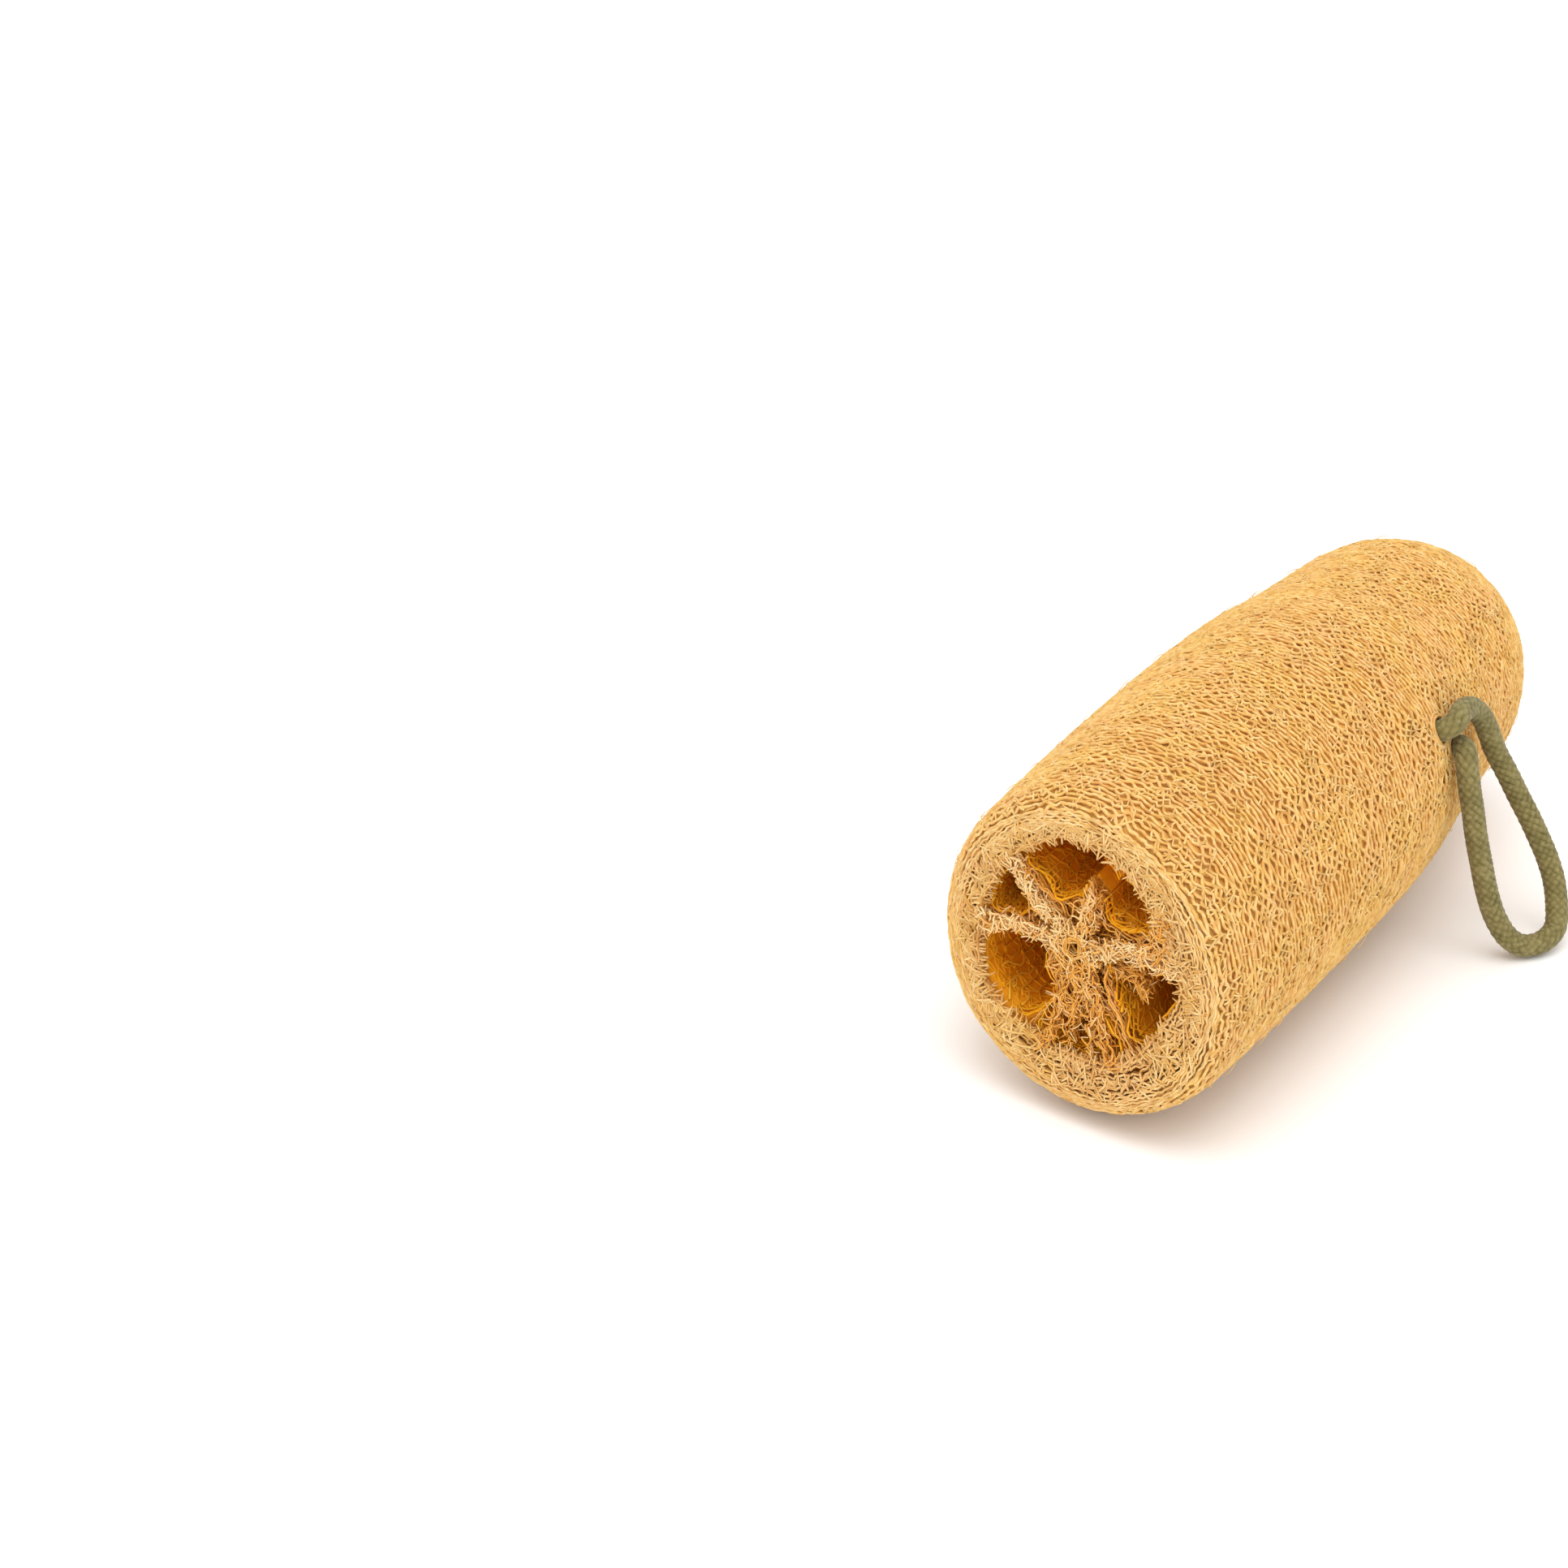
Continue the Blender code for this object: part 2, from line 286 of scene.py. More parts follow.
cameraData = bpy.data.cameras.new("studioCamera")
cameraData.sensor_width = camera["sensor"]
cameraData.lens = camera["focalPixels"] / camera["imagePixels"] * camera["sensor"]
cameraData.clip_start = 0.01
cameraObject = bpy.data.objects.new("studioCamera", cameraData)
bpy.context.scene.collection.objects.link(cameraObject)
cameraObject.location = Vector(camera["position"]) * mm
cameraObject.rotation_euler = (math.pi / 2 - camera["elevation"], 0.0, camera["azimuth"])
bpy.context.scene.camera = cameraObject
print("camera placed")


# Braided cord: sixteen-strand cotton braid, dyed olive green
cord = {
    "diameter": 4.4,
    "length": 155.0,
    "carriers": 8,          # strands in each direction round the cord
    "sides": 46,
    "step": 0.29,           # mm between rings of the mesh
    "strandRise": 0.34,
    "holeGap": 0.05,        # mm between the cord and the mat that it passes through
    "knotCentre": (11.8, 17.0, 29.1),
    "knotReach": 4.9,
    "exit": (31.0, 15.9, 40.4),
    "route": [
        (20.2, 22.4, 32.6), (24.5, 21.2, 36.0), (28.2, 18.6, 38.7), (31.0, 15.9, 40.4),
        (32.8, 13.7, 40.2), (33.8, 12.5, 37.8), (34.8, 12.0, 33.9), (35.8, 11.8, 30.1),
        (37.0, 11.6, 24.9), (38.4, 11.7, 19.6), (39.8, 12.0, 14.2), (41.5, 12.8, 9.1),
        (43.8, 14.2, 4.8), (46.3, 16.3, 2.6), (48.9, 19.5, 2.6), (50.0, 23.3, 4.2),
        (48.8, 26.6, 7.4), (47.1, 28.7, 11.3), (45.2, 29.5, 15.0), (43.5, 29.4, 18.3),
        (41.1, 29.2, 22.6), (38.8, 28.9, 26.4), (36.3, 28.1, 31.2), (34.0, 27.3, 35.4),
        (32.8, 26.4, 38.9), (31.8, 25.0, 42.4), (30.9, 23.0, 44.9), (30.3, 20.3, 46.4),
        (30.3, 16.8, 47.0), (30.6, 13.9, 46.5), (29.2, 12.4, 45.0), (26.0, 12.0, 43.4),
        (21.9, 12.0, 41.0), (17.6, 12.8, 37.8),
    ],
}


def braidedTube(name, path, diameter, material, sides, closed=False):
    # A tube along the path whose skin is pushed in and out as two crossing sets of strands
    curve = bevelledCurve(name, diameter / 2, (sides - 4) // 2)
    addLine(curve, path * mm, closed=closed)
    mesh = meshOf(link(curve, name + "Source"))

    places = np.empty(len(mesh.vertices) * 3)
    mesh.vertices.foreach_get("co", places)
    places = places.reshape(-1, 3)
    ringSize = len(mesh.vertices) // len(path)
    capCount = len(mesh.vertices) - ringSize * len(path)      # the caps come first
    tube = places[capCount:]
    centres = np.repeat(path * mm, ringSize, axis=0)
    side = np.tile(np.arange(ringSize) / ringSize, len(path))
    lengths = np.concatenate([[0.0], np.cumsum(np.linalg.norm(np.diff(path, axis=0), axis=1))])
    along = np.repeat(lengths, ringSize)
    cell = math.pi * diameter / cord["carriers"]
    first = cord["carriers"] * side + along / cell
    second = cord["carriers"] * side - along / cell
    firstOver = (np.floor(first) + np.floor(second)) % 2 == 0
    across = np.where(firstOver, first % 1.0, second % 1.0)
    lengthwise = np.where(firstOver, second % 1.0, first % 1.0)
    rise = np.sqrt(np.sin(np.pi * across)) * (0.62 + 0.38 * np.sin(np.pi * lengthwise))
    reach = 1.0 + cord["strandRise"] * (rise - 1.0) / (diameter / 2)
    places[capCount:] = centres + (tube - centres) * reach[:, None]
    mesh.vertices.foreach_set("co", places.ravel())
    strand = np.where(firstOver, np.floor(first), np.floor(second)) % cord["carriers"]
    strand = strand + np.where(firstOver, 0, 20)        # keeps the two directions apart
    tone = np.full(len(mesh.vertices), 0.4)
    # Painted shade: 0.7 of the tone follows the strand's rise, so the seams are darker; the rest is a random
    # tone for each strand
    tone[capCount:] = 0.7 * rise + 0.3 * np.sin(strand * 12.9898 + np.floor(along / cell) * 4.1) ** 2
    addValues(mesh, "tone", tone)
    weld(mesh, 0.00001)
    mesh.materials.append(material)
    mesh.shade_smooth()
    return link(mesh, name)


def cottonBraidMaterial():
    # Dyed cotton braid: matt yarn; painted shade from the tone, lighter where a strand crosses on top and
    # darker in the seams between
    material, tree, shader = newMaterial("dyedCottonBraid")
    tone = addNode(tree, "ShaderNodeAttribute", {"attribute_name": "tone"})
    where = addNode(tree, "ShaderNodeTexCoord")
    yarn = addNode(tree, "ShaderNodeTexNoise", {"Scale": 2600.0, "Detail": 3.0},
                   {"Vector": where.outputs["Object"]})
    fleck = addNode(tree, "ShaderNodeTexNoise", {"Scale": 900.0, "Detail": 2.0},
                    {"Vector": where.outputs["Object"]})
    body = addNode(tree, "ShaderNodeMix", {"data_type": "RGBA", 6: hexColour("4c451a"),
                                           7: hexColour("8f8352")}, {0: tone.outputs["Fac"]})
    strength = addNode(tree, "ShaderNodeMapRange", {"From Min": 0.55, "From Max": 0.75, "To Max": 0.4},
                       {"Value": fleck.outputs["Fac"]})
    mixed = addNode(tree, "ShaderNodeMix", {"data_type": "RGBA", 7: hexColour("ada175")},
                    {0: strength.outputs[0], 6: body.outputs[2]})
    tree.links.new(mixed.outputs[2], shader.inputs["Base Color"])
    bump = addNode(tree, "ShaderNodeBump", {"Strength": 0.35, "Distance": 0.0001},
                   {"Height": yarn.outputs["Fac"]})
    tree.links.new(bump.outputs[0], shader.inputs["Normal"])
    shader.inputs["Roughness"].default_value = 0.88
    shader.inputs["Specular IOR Level"].default_value = 0.25
    shader.inputs["Sheen Weight"].default_value = 0.15
    shader.inputs["Sheen Roughness"].default_value = 0.5
    return material


cottonBraid = cottonBraidMaterial()
knotCentre = np.array(cord["knotCentre"])
cordRoute = [np.array(p) for p in cord["route"]]
for end, place in ((0, 0), (-1, len(cordRoute) + 1)):
    towards = cordRoute[end] - knotCentre
    cordRoute.insert(place, knotCentre + towards / np.linalg.norm(towards) * cord["knotReach"])
cordPath = evenlySpaced(smoothThrough(cordRoute), cord["step"])
hangingCord = braidedTube("hangingCord", cordPath, cord["diameter"], cottonBraid, cord["sides"])
finishPiece(hangingCord, "braided_cord", "hanging_cord")

# Overhand knot in the same cord, pulled tight: a closed three-lobed turn
knot = {"turns": 90, "lobeRadius": 2.1, "tubeOffset": 1.05, "strand": 2.9, "sides": 24}
turnAngles = np.linspace(0.0, math.tau, knot["turns"], endpoint=False)
knotRadius = knot["lobeRadius"] + knot["tubeOffset"] * np.cos(3 * turnAngles)
knotPath = knotCentre + np.stack([
    knotRadius * np.cos(2 * turnAngles),
    knot["tubeOffset"] * np.sin(3 * turnAngles),
    knotRadius * np.sin(2 * turnAngles)], axis=1)
stopperKnot = braidedTube("stopperKnot", knotPath, knot["strand"], cottonBraid, knot["sides"], closed=True)
finishPiece(stopperKnot, "braided_cord", "stopper_knot")

# Fibre materials

def fibreMaterial(name, colours, grainStretch=(1.0, 1.0, 1.0), depths=None, subsurface=0.15, gloss=0.3,
                  outside=None):
    # Dried loofah fibre: dry cellulose strands, matt and slightly translucent, straw outside. The tone
    # runs from the deep colour through the hue to the pale one: random tone, and painted shade where a
    # fibre lies deeper or lower. The depth ramp paints fibre further in amber, painted warm light bounced
    # deep inside. Patches of about 10 mm differ in hue as the gourd aged, and a grain of 0.9 mm, drawn
    # coarser than the real one to show, runs along the strands.
    material, tree, shader = newMaterial(name)
    where = addNode(tree, "ShaderNodeTexCoord")
    tone = addNode(tree, "ShaderNodeAttribute", {"attribute_name": "tone"})
    along = addNode(tree, "ShaderNodeMapping", {"Scale": grainStretch}, {"Vector": where.outputs["Object"]})
    patch = addNode(tree, "ShaderNodeTexNoise", {"Scale": 105.0, "Detail": 4.0, "Roughness": 0.65},
                    {"Vector": where.outputs["Object"]})
    grain = addNode(tree, "ShaderNodeTexNoise", {"Scale": 1100.0, "Detail": 3.0, "Roughness": 0.7},
                    {"Vector": along.outputs[0]})
    patchShare = addNode(tree, "ShaderNodeMapRange", {"From Min": 0.38, "From Max": 0.62},
                         {"Value": patch.outputs["Fac"]})
    hue = addNode(tree, "ShaderNodeMix", {"data_type": "RGBA", 6: hexColour(colours["warm"]),
                                          7: hexColour(colours["yellow"])}, {0: patchShare.outputs[0]})
    shadeShare = addNode(tree, "ShaderNodeMapRange", {"From Min": 0.0, "From Max": 0.5},
                         {"Value": tone.outputs["Fac"]})
    shade = addNode(tree, "ShaderNodeMix", {"data_type": "RGBA", 6: hexColour(colours["deep"])},
                    {0: shadeShare.outputs[0], 7: hue.outputs[2]})
    paleShare = addNode(tree, "ShaderNodeMapRange", {"From Min": 0.5, "From Max": 1.0},
                        {"Value": tone.outputs["Fac"]})
    pale = addNode(tree, "ShaderNodeMix", {"data_type": "RGBA", 7: hexColour(colours["pale"])},
                   {0: paleShare.outputs[0], 6: shade.outputs[2]})
    grainShare = addNode(tree, "ShaderNodeMapRange", {"From Min": 0.5, "From Max": 0.7, "To Max": 0.5},
                         {"Value": grain.outputs["Fac"]})
    colour = addNode(tree, "ShaderNodeMix", {"data_type": "RGBA", 7: hexColour(colours["deep"])},
                     {0: grainShare.outputs[0], 6: pale.outputs[2]})
    # Painted warm light: further behind the cut face the colour turns to the ramp's amber, standing in for
    # light bounced among the fibres
    if depths:
        place = addNode(tree, "ShaderNodeSeparateXYZ", links={0: where.outputs["Object"]})
        inside = addNode(tree, "ShaderNodeMapRange",
                         {"From Min": (sponge["frontY"] + depths["start"]) * mm,
                          "From Max": (sponge["frontY"] + depths["end"]) * mm},
                         {"Value": place.outputs["Y"]})
        colour = addNode(tree, "ShaderNodeMix", {"data_type": "RGBA", 7: hexColour(depths["colour"])},
                         {0: inside.outputs[0], 6: colour.outputs[2]})
    if outside:
        skinSide = addNode(tree, "ShaderNodeAttribute", {"attribute_name": "skinSide"})
        colour = addNode(tree, "ShaderNodeMix", {"data_type": "RGBA", 7: hexColour(outside)},
                         {0: skinSide.outputs["Fac"], 6: colour.outputs[2]})
    tree.links.new(colour.outputs[2], shader.inputs["Base Color"])
    bump = addNode(tree, "ShaderNodeBump", {"Strength": 0.5, "Distance": 0.00012},
                   {"Height": grain.outputs["Fac"]})
    tree.links.new(bump.outputs[0], shader.inputs["Normal"])
    shader.inputs["Roughness"].default_value = 0.78
    shader.inputs["Specular IOR Level"].default_value = gloss
    shader.inputs["Subsurface Weight"].default_value = subsurface
    shader.inputs["Subsurface Radius"].default_value = (1.0, 0.5, 0.15)
    shader.inputs["Subsurface Scale"].default_value = 0.0012
    return material


roundTheSponge = (0.35, 1.0, 0.35)      # longer grain round the sponge than along it
skinFibre = fibreMaterial("driedSkinFibre", {
    "warm": "eab772", "yellow": "ebbd6a", "pale": "f2cc8a", "deep": "cd9546"}, roundTheSponge)
# A darker copy of the skin fibre for the fibres under the net: painted shade of the pits. The stem scar takes
# it as well, for its own darker woody colour
underFibre = fibreMaterial("driedUnderFibre", {
    "warm": "e0aa5a", "yellow": "e2af5a", "pale": "e8bc70", "deep": "c48e3e"}, roundTheSponge)
# A darker copy of the skin fibre for the cut face's band and teeth: painted shade of the cut face
rimFibre = fibreMaterial("driedRimFibrePaintedShade", {
    "warm": "e2ab66", "yellow": "e4b05f", "pale": "f4ce8e", "deep": "b97e34"}, roundTheSponge)
coreFibre = fibreMaterial("driedCoreFibre", {
    "warm": "f2a94a", "yellow": "f3b052", "pale": "fbdba2", "deep": "c87f1c"},
    depths={"start": 3.5, "end": 13.0, "colour": "f0981c"}, subsurface=0.2)
# The chambers' walls are lighter and purer in colour than the fibre is: in the real sponge light
# also comes through the open net, which the closed mat stops here
liningFibre = fibreMaterial("driedChamberFibre", {
    "warm": "fba51c", "yellow": "fbae22", "pale": "fcb838", "deep": "f0960f"},
    depths={"start": 8.0, "end": 30.0, "colour": "fb9e0a"}, subsurface=0.25, gloss=0.05)
# Inside the chambers the mat takes these pure ambers, painted light as in the lining; under the skin and
# behind the chambers it takes the outside colour
matFibre = fibreMaterial("feltedInnerMat", {
    "warm": "ea9c20", "yellow": "eca325", "pale": "f2ae38", "deep": "d48812"},
    depths={"start": 5.0, "end": 20.0, "colour": "fb9e0a"}, gloss=0.05, outside="e2ae5c")


# Inner mat: the felted body under the skin net, with the seed chambers open in it
chambers = {
    "outlines": {
        "top": [(-13.6, 15.8), (-10.1, 19.8), (-6.0, 21.5), (-0.9, 21.9), (2.4, 20.6),
                (1.6, 16.9), (-0.3, 13.9), (-1.3, 10.9), (-5.6, 9.0), (-9.6, 11.6)],
        "upperRight": [(4.6, 16.4), (8.7, 16.8), (12.0, 15.6), (13.4, 12.2), (12.9, 9.2),
                       (10.6, 7.9), (7.0, 7.6), (3.9, 8.7), (2.5, 10.9), (2.9, 13.8)],
        "lowerRight": [(5.5, 2.9), (9.6, 4.1), (13.4, 2.4), (16.8, 2.7), (20.2, 1.8),
                       (19.1, -1.0), (16.6, -4.7), (15.4, -7.9), (13.0, -12.3),
                       (10.4, -11.6), (8.2, -7.0), (4.9, -1.8)],
        "left": [(-21.2, -0.9), (-18.5, 1.0), (-14.0, 0.6), (-8.0, 0.4), (-8.4, -3.8),
                 (-6.0, -7.4), (-7.4, -11.6), (-11.5, -14.6), (-15.4, -13.3),
                 (-19.1, -9.5), (-20.8, -5.7)],
        "upperLeft": [(-18.9, 9.6), (-16.8, 11.3), (-13.6, 11.2), (-11.3, 8.2),
                      (-12.7, 4.6), (-16.3, 2.9), (-19.2, 3.4), (-19.8, 6.0)],
        "bottom": [(-4.4, -11.3), (-1.1, -11.9), (1.1, -9.4), (3.6, -11.2), (5.6, -14.6),
                   (2.1, -17.8), (-2.7, -17.9), (-6.6, -16.0)],
    },
    "depths": {"top": 118.0, "upperRight": 114.0, "lowerRight": 124.0,
               "left": 118.0, "upperLeft": 52.0, "bottom": 46.0},
    "stages": [(0.0, 1.0), (0.25, 1.0), (0.5, 1.02), (0.78, 1.02), (0.89, 0.96), (0.96, 0.7), (1.0, 0.35)],
    "twist": math.radians(0.06),
    "outlineStep": 1.1,
    "ridge": 0.45,          # mm, how far the torn edge wanders
}

# Webs that are torn away at the cut, so that two chambers share a mouth: outline and depth
torn = {
    "topToRight": ([(-1.0, 20.6), (3.0, 20.4), (6.0, 17.2), (6.2, 12.8), (3.6, 11.4), (0.4, 13.4),
                    (-1.8, 16.6)], 15.0),
    "bottomLeft": ([(-8.2, -13.8), (-5.8, -9.8), (-3.0, -9.6), (-2.6, -14.2), (-5.2, -17.4),
                    (-8.4, -16.8)], 11.0),
    "bottomRight": ([(1.2, -9.6), (3.6, -8.8), (6.6, -11.6), (8.6, -15.2), (6.0, -17.8),
                     (3.2, -15.4)], 11.0),
}
tornLoops = {name: smoothThrough([(x, z, 0.0) for x, z in corners], steps=3, closed=True)[:, :2]
             for name, (corners, _) in torn.items()}


def within(x, z, loop):
    # True where a place lies inside a closed outline
    inside = np.zeros(np.shape(x), bool)
    for (ax, az), (bx, bz) in zip(loop, np.roll(loop, -1, axis=0)):
        crosses = (az > z) != (bz > z)
        inside ^= crosses & (x < (bx - ax) * (z - az) / (bz - az if bz != az else 1e-9) + ax)
    return inside


def tornRing(name, depth):
    # The torn outline at one depth: it narrows, so that the web rises again between the chambers
    loop = tornLoops[name]
    centre = loop.mean(axis=0)
    return centre + (loop - centre) * (1.0 - 0.45 * (depth / torn[name][1]) ** 2)


def tornAway(places, depth):
    # True for places on the cut face, at a depth behind it, where the web is gone
    gone = np.zeros(len(places), bool)
    for name, (_, reach) in torn.items():
        gone |= within(places[:, 0], places[:, 1], tornLoops[name]) & (np.asarray(depth) < reach)
    return gone


mat = {"depth": 0.95, "faceDepths": [(0.0, 5.4), (18.0, 5.4), (21.5, 2.0), (26.2, 1.1)], "columns": 132,
       "lineStep": 1.5, "swell": 0.16,
       "chambersWithin": 23.5, "chambersEnd": 50.0}     # mm, radius and Y that hold all the chambers


def chamberRing(name, depth, inset=0.0):
    # The chamber's outline at one depth, as (x, height)
    outline = chamberOutlines[name]
    centre = outline.mean(axis=0)
    stages, scales = zip(*chambers["stages"])
    scale = np.interp(depth / chambers["depths"][name], stages, scales)
    spread = outline - centre
    placed = centre + spread * (scale - inset / np.linalg.norm(spread, axis=1)[:, None])
    turn = chambers["twist"] * depth
    x = placed[:, 0] * math.cos(turn) - placed[:, 1] * math.sin(turn)
    height = placed[:, 0] * math.sin(turn) + placed[:, 1] * math.cos(turn)
    return np.stack([x, height], axis=1)


chamberOutlines = {}
for chamberName, corners in chambers["outlines"].items():
    loop = smoothThrough([(x, z, 0.0) for x, z in corners], closed=True)[:, :2]
    loop = evenlySpaced(np.concatenate([loop, loop[:1]]), chambers["outlineStep"])[:-1]
    outward = loop - loop.mean(axis=0)
    outward /= np.linalg.norm(outward, axis=1)[:, None]
    ragged = drift(len(loop), 0.8) + rng.uniform(-0.5, 0.5, len(loop))
    chamberOutlines[chamberName] = loop + outward * (chambers["ridge"] * ragged)[:, None]


def turnedMat():
    # The outline stands inside the skin by the mat's depth, deeper behind the cut face,
    # and is spun about the sponge's axis
    line = evenlySpaced(smoothThrough(outlinePoints)[:, :2], mat["lineStep"])
    slopes = np.gradient(line, axis=0)
    slopes /= np.linalg.norm(slopes, axis=1)[:, None]
    line = line + mat["depth"] * np.stack([-slopes[:, 1], slopes[:, 0]], axis=1)
    onCut = line[:, 1] < 4.0
    line[onCut, 1] += np.interp(line[onCut, 0], *zip(*mat["faceDepths"])) - mat["depth"]
    line[:, 0] = np.maximum(line[:, 0], 0.0)
    line[0, 0] = 0.0
    line[-1, 0] = 0.0
    work = bmesh.new()
    corners = [work.verts.new((r, y + sponge["frontY"], 0.0)) for r, y in line]
    edges = [work.edges.new(pair) for pair in zip(corners, corners[1:])]
    bmesh.ops.spin(work, geom=corners + edges, cent=(0, 0, 0), axis=(0, 1, 0), angle=math.tau,
                   steps=mat["columns"], use_merge=True)
    bmesh.ops.remove_doubles(work, verts=work.verts, dist=0.001)
    roughness = waves(40, 40, 1.6, mat["swell"])
    for vertex in work.verts:
        x, y, height = vertex.co
        behind = y - sponge["frontY"]
        swell = 1.0 + float(roughness(math.atan2(height, x), behind)) / max(8.0, math.hypot(x, height))
        x, height = asGrown(x * swell, height * swell, behind)
        y = y + float(slant(x, height, behind))
        vertex.co = Vector((x, y, max(sponge["axisHeight"] + height, 0.35))) * mm
    bmesh.ops.recalc_face_normals(work, faces=work.faces)
    return link(meshFrom(work, "innerMat"), "innerMat")


def cutterThrough(name, rings):
    # A cutter whose outline is extruded backwards from ring to ring, each (outline, depth)
    work = bmesh.new()
    corners = [work.verts.new(Vector((a, sponge["frontY"] - 8.0, sponge["axisHeight"] + b)) * mm)
               for a, b in rings[0][0]]
    face = work.faces.new(corners)
    for outline, depth in rings:
        grown = bmesh.ops.extrude_discrete_faces(work, faces=[face])
        face = grown["faces"][0]
        for corner, (a, b) in zip(face.verts, outline):
            corner.co = Vector((a, sponge["frontY"] + depth, sponge["axisHeight"] + b)) * mm
    bmesh.ops.recalc_face_normals(work, faces=work.faces)
    return link(meshFrom(work, "cutter" + name), "cutter" + name)


def chamberCutter(name):
    stages = np.linspace(0.0, chambers["depths"][name], 26)
    return cutterThrough(name, [(chamberRing(name, depth), depth) for depth in stages])


def tornCutter(name):
    stages = torn[name][1] * np.array([0.0, 0.35, 0.7, 0.9, 1.0])
    return cutterThrough(name, [(tornRing(name, depth), depth) for depth in stages])


def cordHole(name, stretch):
    # The round hole that the cord takes through the wall
    drill = bevelledCurve(name, cord["diameter"] / 2 + cord["holeGap"], 6)
    addLine(drill, stretch * mm)
    mesh = meshOf(link(drill, name))
    weld(mesh, 0.000001)
    return link(mesh, name)


innerMat = turnedMat()
holePath = evenlySpaced(smoothThrough(cordRoute), 1.6)
cutters = [chamberCutter(name) for name in chamberOutlines] + [tornCutter(name) for name in torn]
cutters += [cordHole("nearHole", holePath[:15]), cordHole("farHole", holePath[-15:])]
for cutter in cutters:
    boolean = innerMat.modifiers.new(cutter.name, "BOOLEAN")
    boolean.operation = "DIFFERENCE"
    boolean.solver = "EXACT"
    boolean.object = cutter
innerMat = link(meshOf(innerMat), "innerMat")
for cutter in cutters:
    bpy.data.objects.remove(cutter, do_unlink=True)
addValues(innerMat.data, "tone", rng.uniform(0.1, 0.7, len(innerMat.data.vertices)))
matPlaces = np.array([tuple(vertex.co) for vertex in innerMat.data.vertices]) / mm
matRadius = np.hypot(matPlaces[:, 0], matPlaces[:, 2] - sponge["axisHeight"])
outer = (matRadius > mat["chambersWithin"]) | (matPlaces[:, 1] > mat["chambersEnd"])
addValues(innerMat.data, "skinSide", outer.astype(float))
innerMat.data.materials.clear()
innerMat.data.materials.append(matFibre)
innerMat.data.shade_smooth()
innerMat.data.set_sharp_from_angle(angle=math.radians(50))
finishPiece(innerMat, "loofah_fibre", "sponge")


# Skin net: wavy strands round the sponge whose neighbours meet and part, which leaves staggered
# pits about 1.6 mm round the sponge and 1.2 mm along it, 2.4 mm apart. The first four entries
# are what waves() takes for each field that varies the strands
net = {
    "wander": (14, 7, 0.09, 0.5),
    "warp": (30, 30, 0.8, 1.6),
    "amount": (26, 26, 0.9, 0.5),
    "lift": (34, 40, 1.3, 0.09),
    "ringPitch": 1.22,
    "startRadius": 27.3,      # where the skin takes over from the rim of the cut face
    "wavelength": 2.4,
    "swing": 0.38,
    "strandRadius": 0.38,
    "waveSteps": 4,
    "depth": 0.38,
    "fewestWaves": 10,
    "holeReach": 2.35,
}


def clearOfCord(points):
    # True where a point keeps clear of the cord where it passes the skin
    near = cordPath[(cordPath[:, 0] > 22) & (cordPath[:, 2] > 34)] * mm
    away = np.linalg.norm(points[:, None, :] - near[None, ::3, :], axis=2).min(axis=1)
    return away > net["holeReach"] * mm


def runsOf(clear):
    # The stretches of a ring that are clear, each as a list of places in order
    first = int(np.argmin(clear))
    runs = [[]]
    for spot in np.roll(np.arange(len(clear)), -first):
        if clear[spot]:
            runs[-1].append(spot)
        elif runs[-1]:
            runs.append([])
    return [run for run in runs if len(run) > 3]


def skinStrands():
    wander, warp, amount, lift = [waves(*net[field]) for field in ("wander", "warp", "amount", "lift")]
    strands = []
    start = lengthAtRadius(net["startRadius"])
    lastWaves = 0
    for index in range(int((lineEnd - start) / net["ringPitch"])):
        t = start + index * net["ringPitch"]
        radius = float(np.interp(t, lineLengths, turnedLine[:, 0]))
        if t > lineEnd / 2 and radius < 2.4:
            break
        wanted = max(net["fewestWaves"], math.tau * radius / net["wavelength"])
        if lastWaves == 0 or wanted < lastWaves * 0.86 or wanted > lastWaves * 1.14:
            lastWaves = round(wanted)
        count = lastWaves * net["waveSteps"]
        angle = np.linspace(0.0, math.tau, count, endpoint=False)
        local = np.repeat(rng.uniform(0.35, 1.5, lastWaves), net["waveSteps"])
        local = (local + np.roll(local, 1) + np.roll(local, -1)) / 3
        shift = np.repeat(rng.normal(0.0, 0.6, lastWaves), net["waveSteps"])
        shift = (shift + np.roll(shift, 1) + np.roll(shift, 2)) / 3 + rng.normal(0.0, 0.15)
        swing = net["swing"] * local * np.clip(1.0 + amount(angle, t), 0.2, 1.8)
        phase = lastWaves * angle + math.pi * index + warp(angle, t) + shift
        place = t + swing * np.cos(phase) + wander(angle, t)
        bulge = 0.09 * np.cos(phase * 2)
        depth = net["depth"] - bulge + lift(angle, t) + rng.normal(0.0, 0.03, count)
        thick = net["strandRadius"] * (0.94 - 0.12 * np.cos(phase * 2) + rng.normal(0.0, 0.05, count))
        depth = np.maximum(depth, thick * 0.8)
        points = onSponge(np.clip(place, 0.0, lineEnd), angle, depth, floorGap=net["strandRadius"] + 0.03)
        speckle = rng.uniform(-0.36, 0.36, count)
        # Random tone and speckle, plus painted shade: the strand is lighter where it rises and darker where
        # it dips
        tone = 0.52 + rng.uniform(-0.08, 0.08) + speckle + 1.2 * bulge
        clear = clearOfCord(points)
        if clear.all():
            strands.append((points, thick, True, tone))
        else:
            strands += [(points[run], thick[run], False, tone[run]) for run in runsOf(clear)]
    return strands


strands = skinStrands()
third = len(strands) // 3
finishPiece(fibreObject("skinNetNear", strands[:third], skinFibre), "loofah_fibre")
finishPiece(fibreObject("skinNetMiddle", strands[third:2 * third], skinFibre), "loofah_fibre")
finishPiece(fibreObject("skinNetFar", strands[2 * third:], skinFibre), "loofah_fibre")


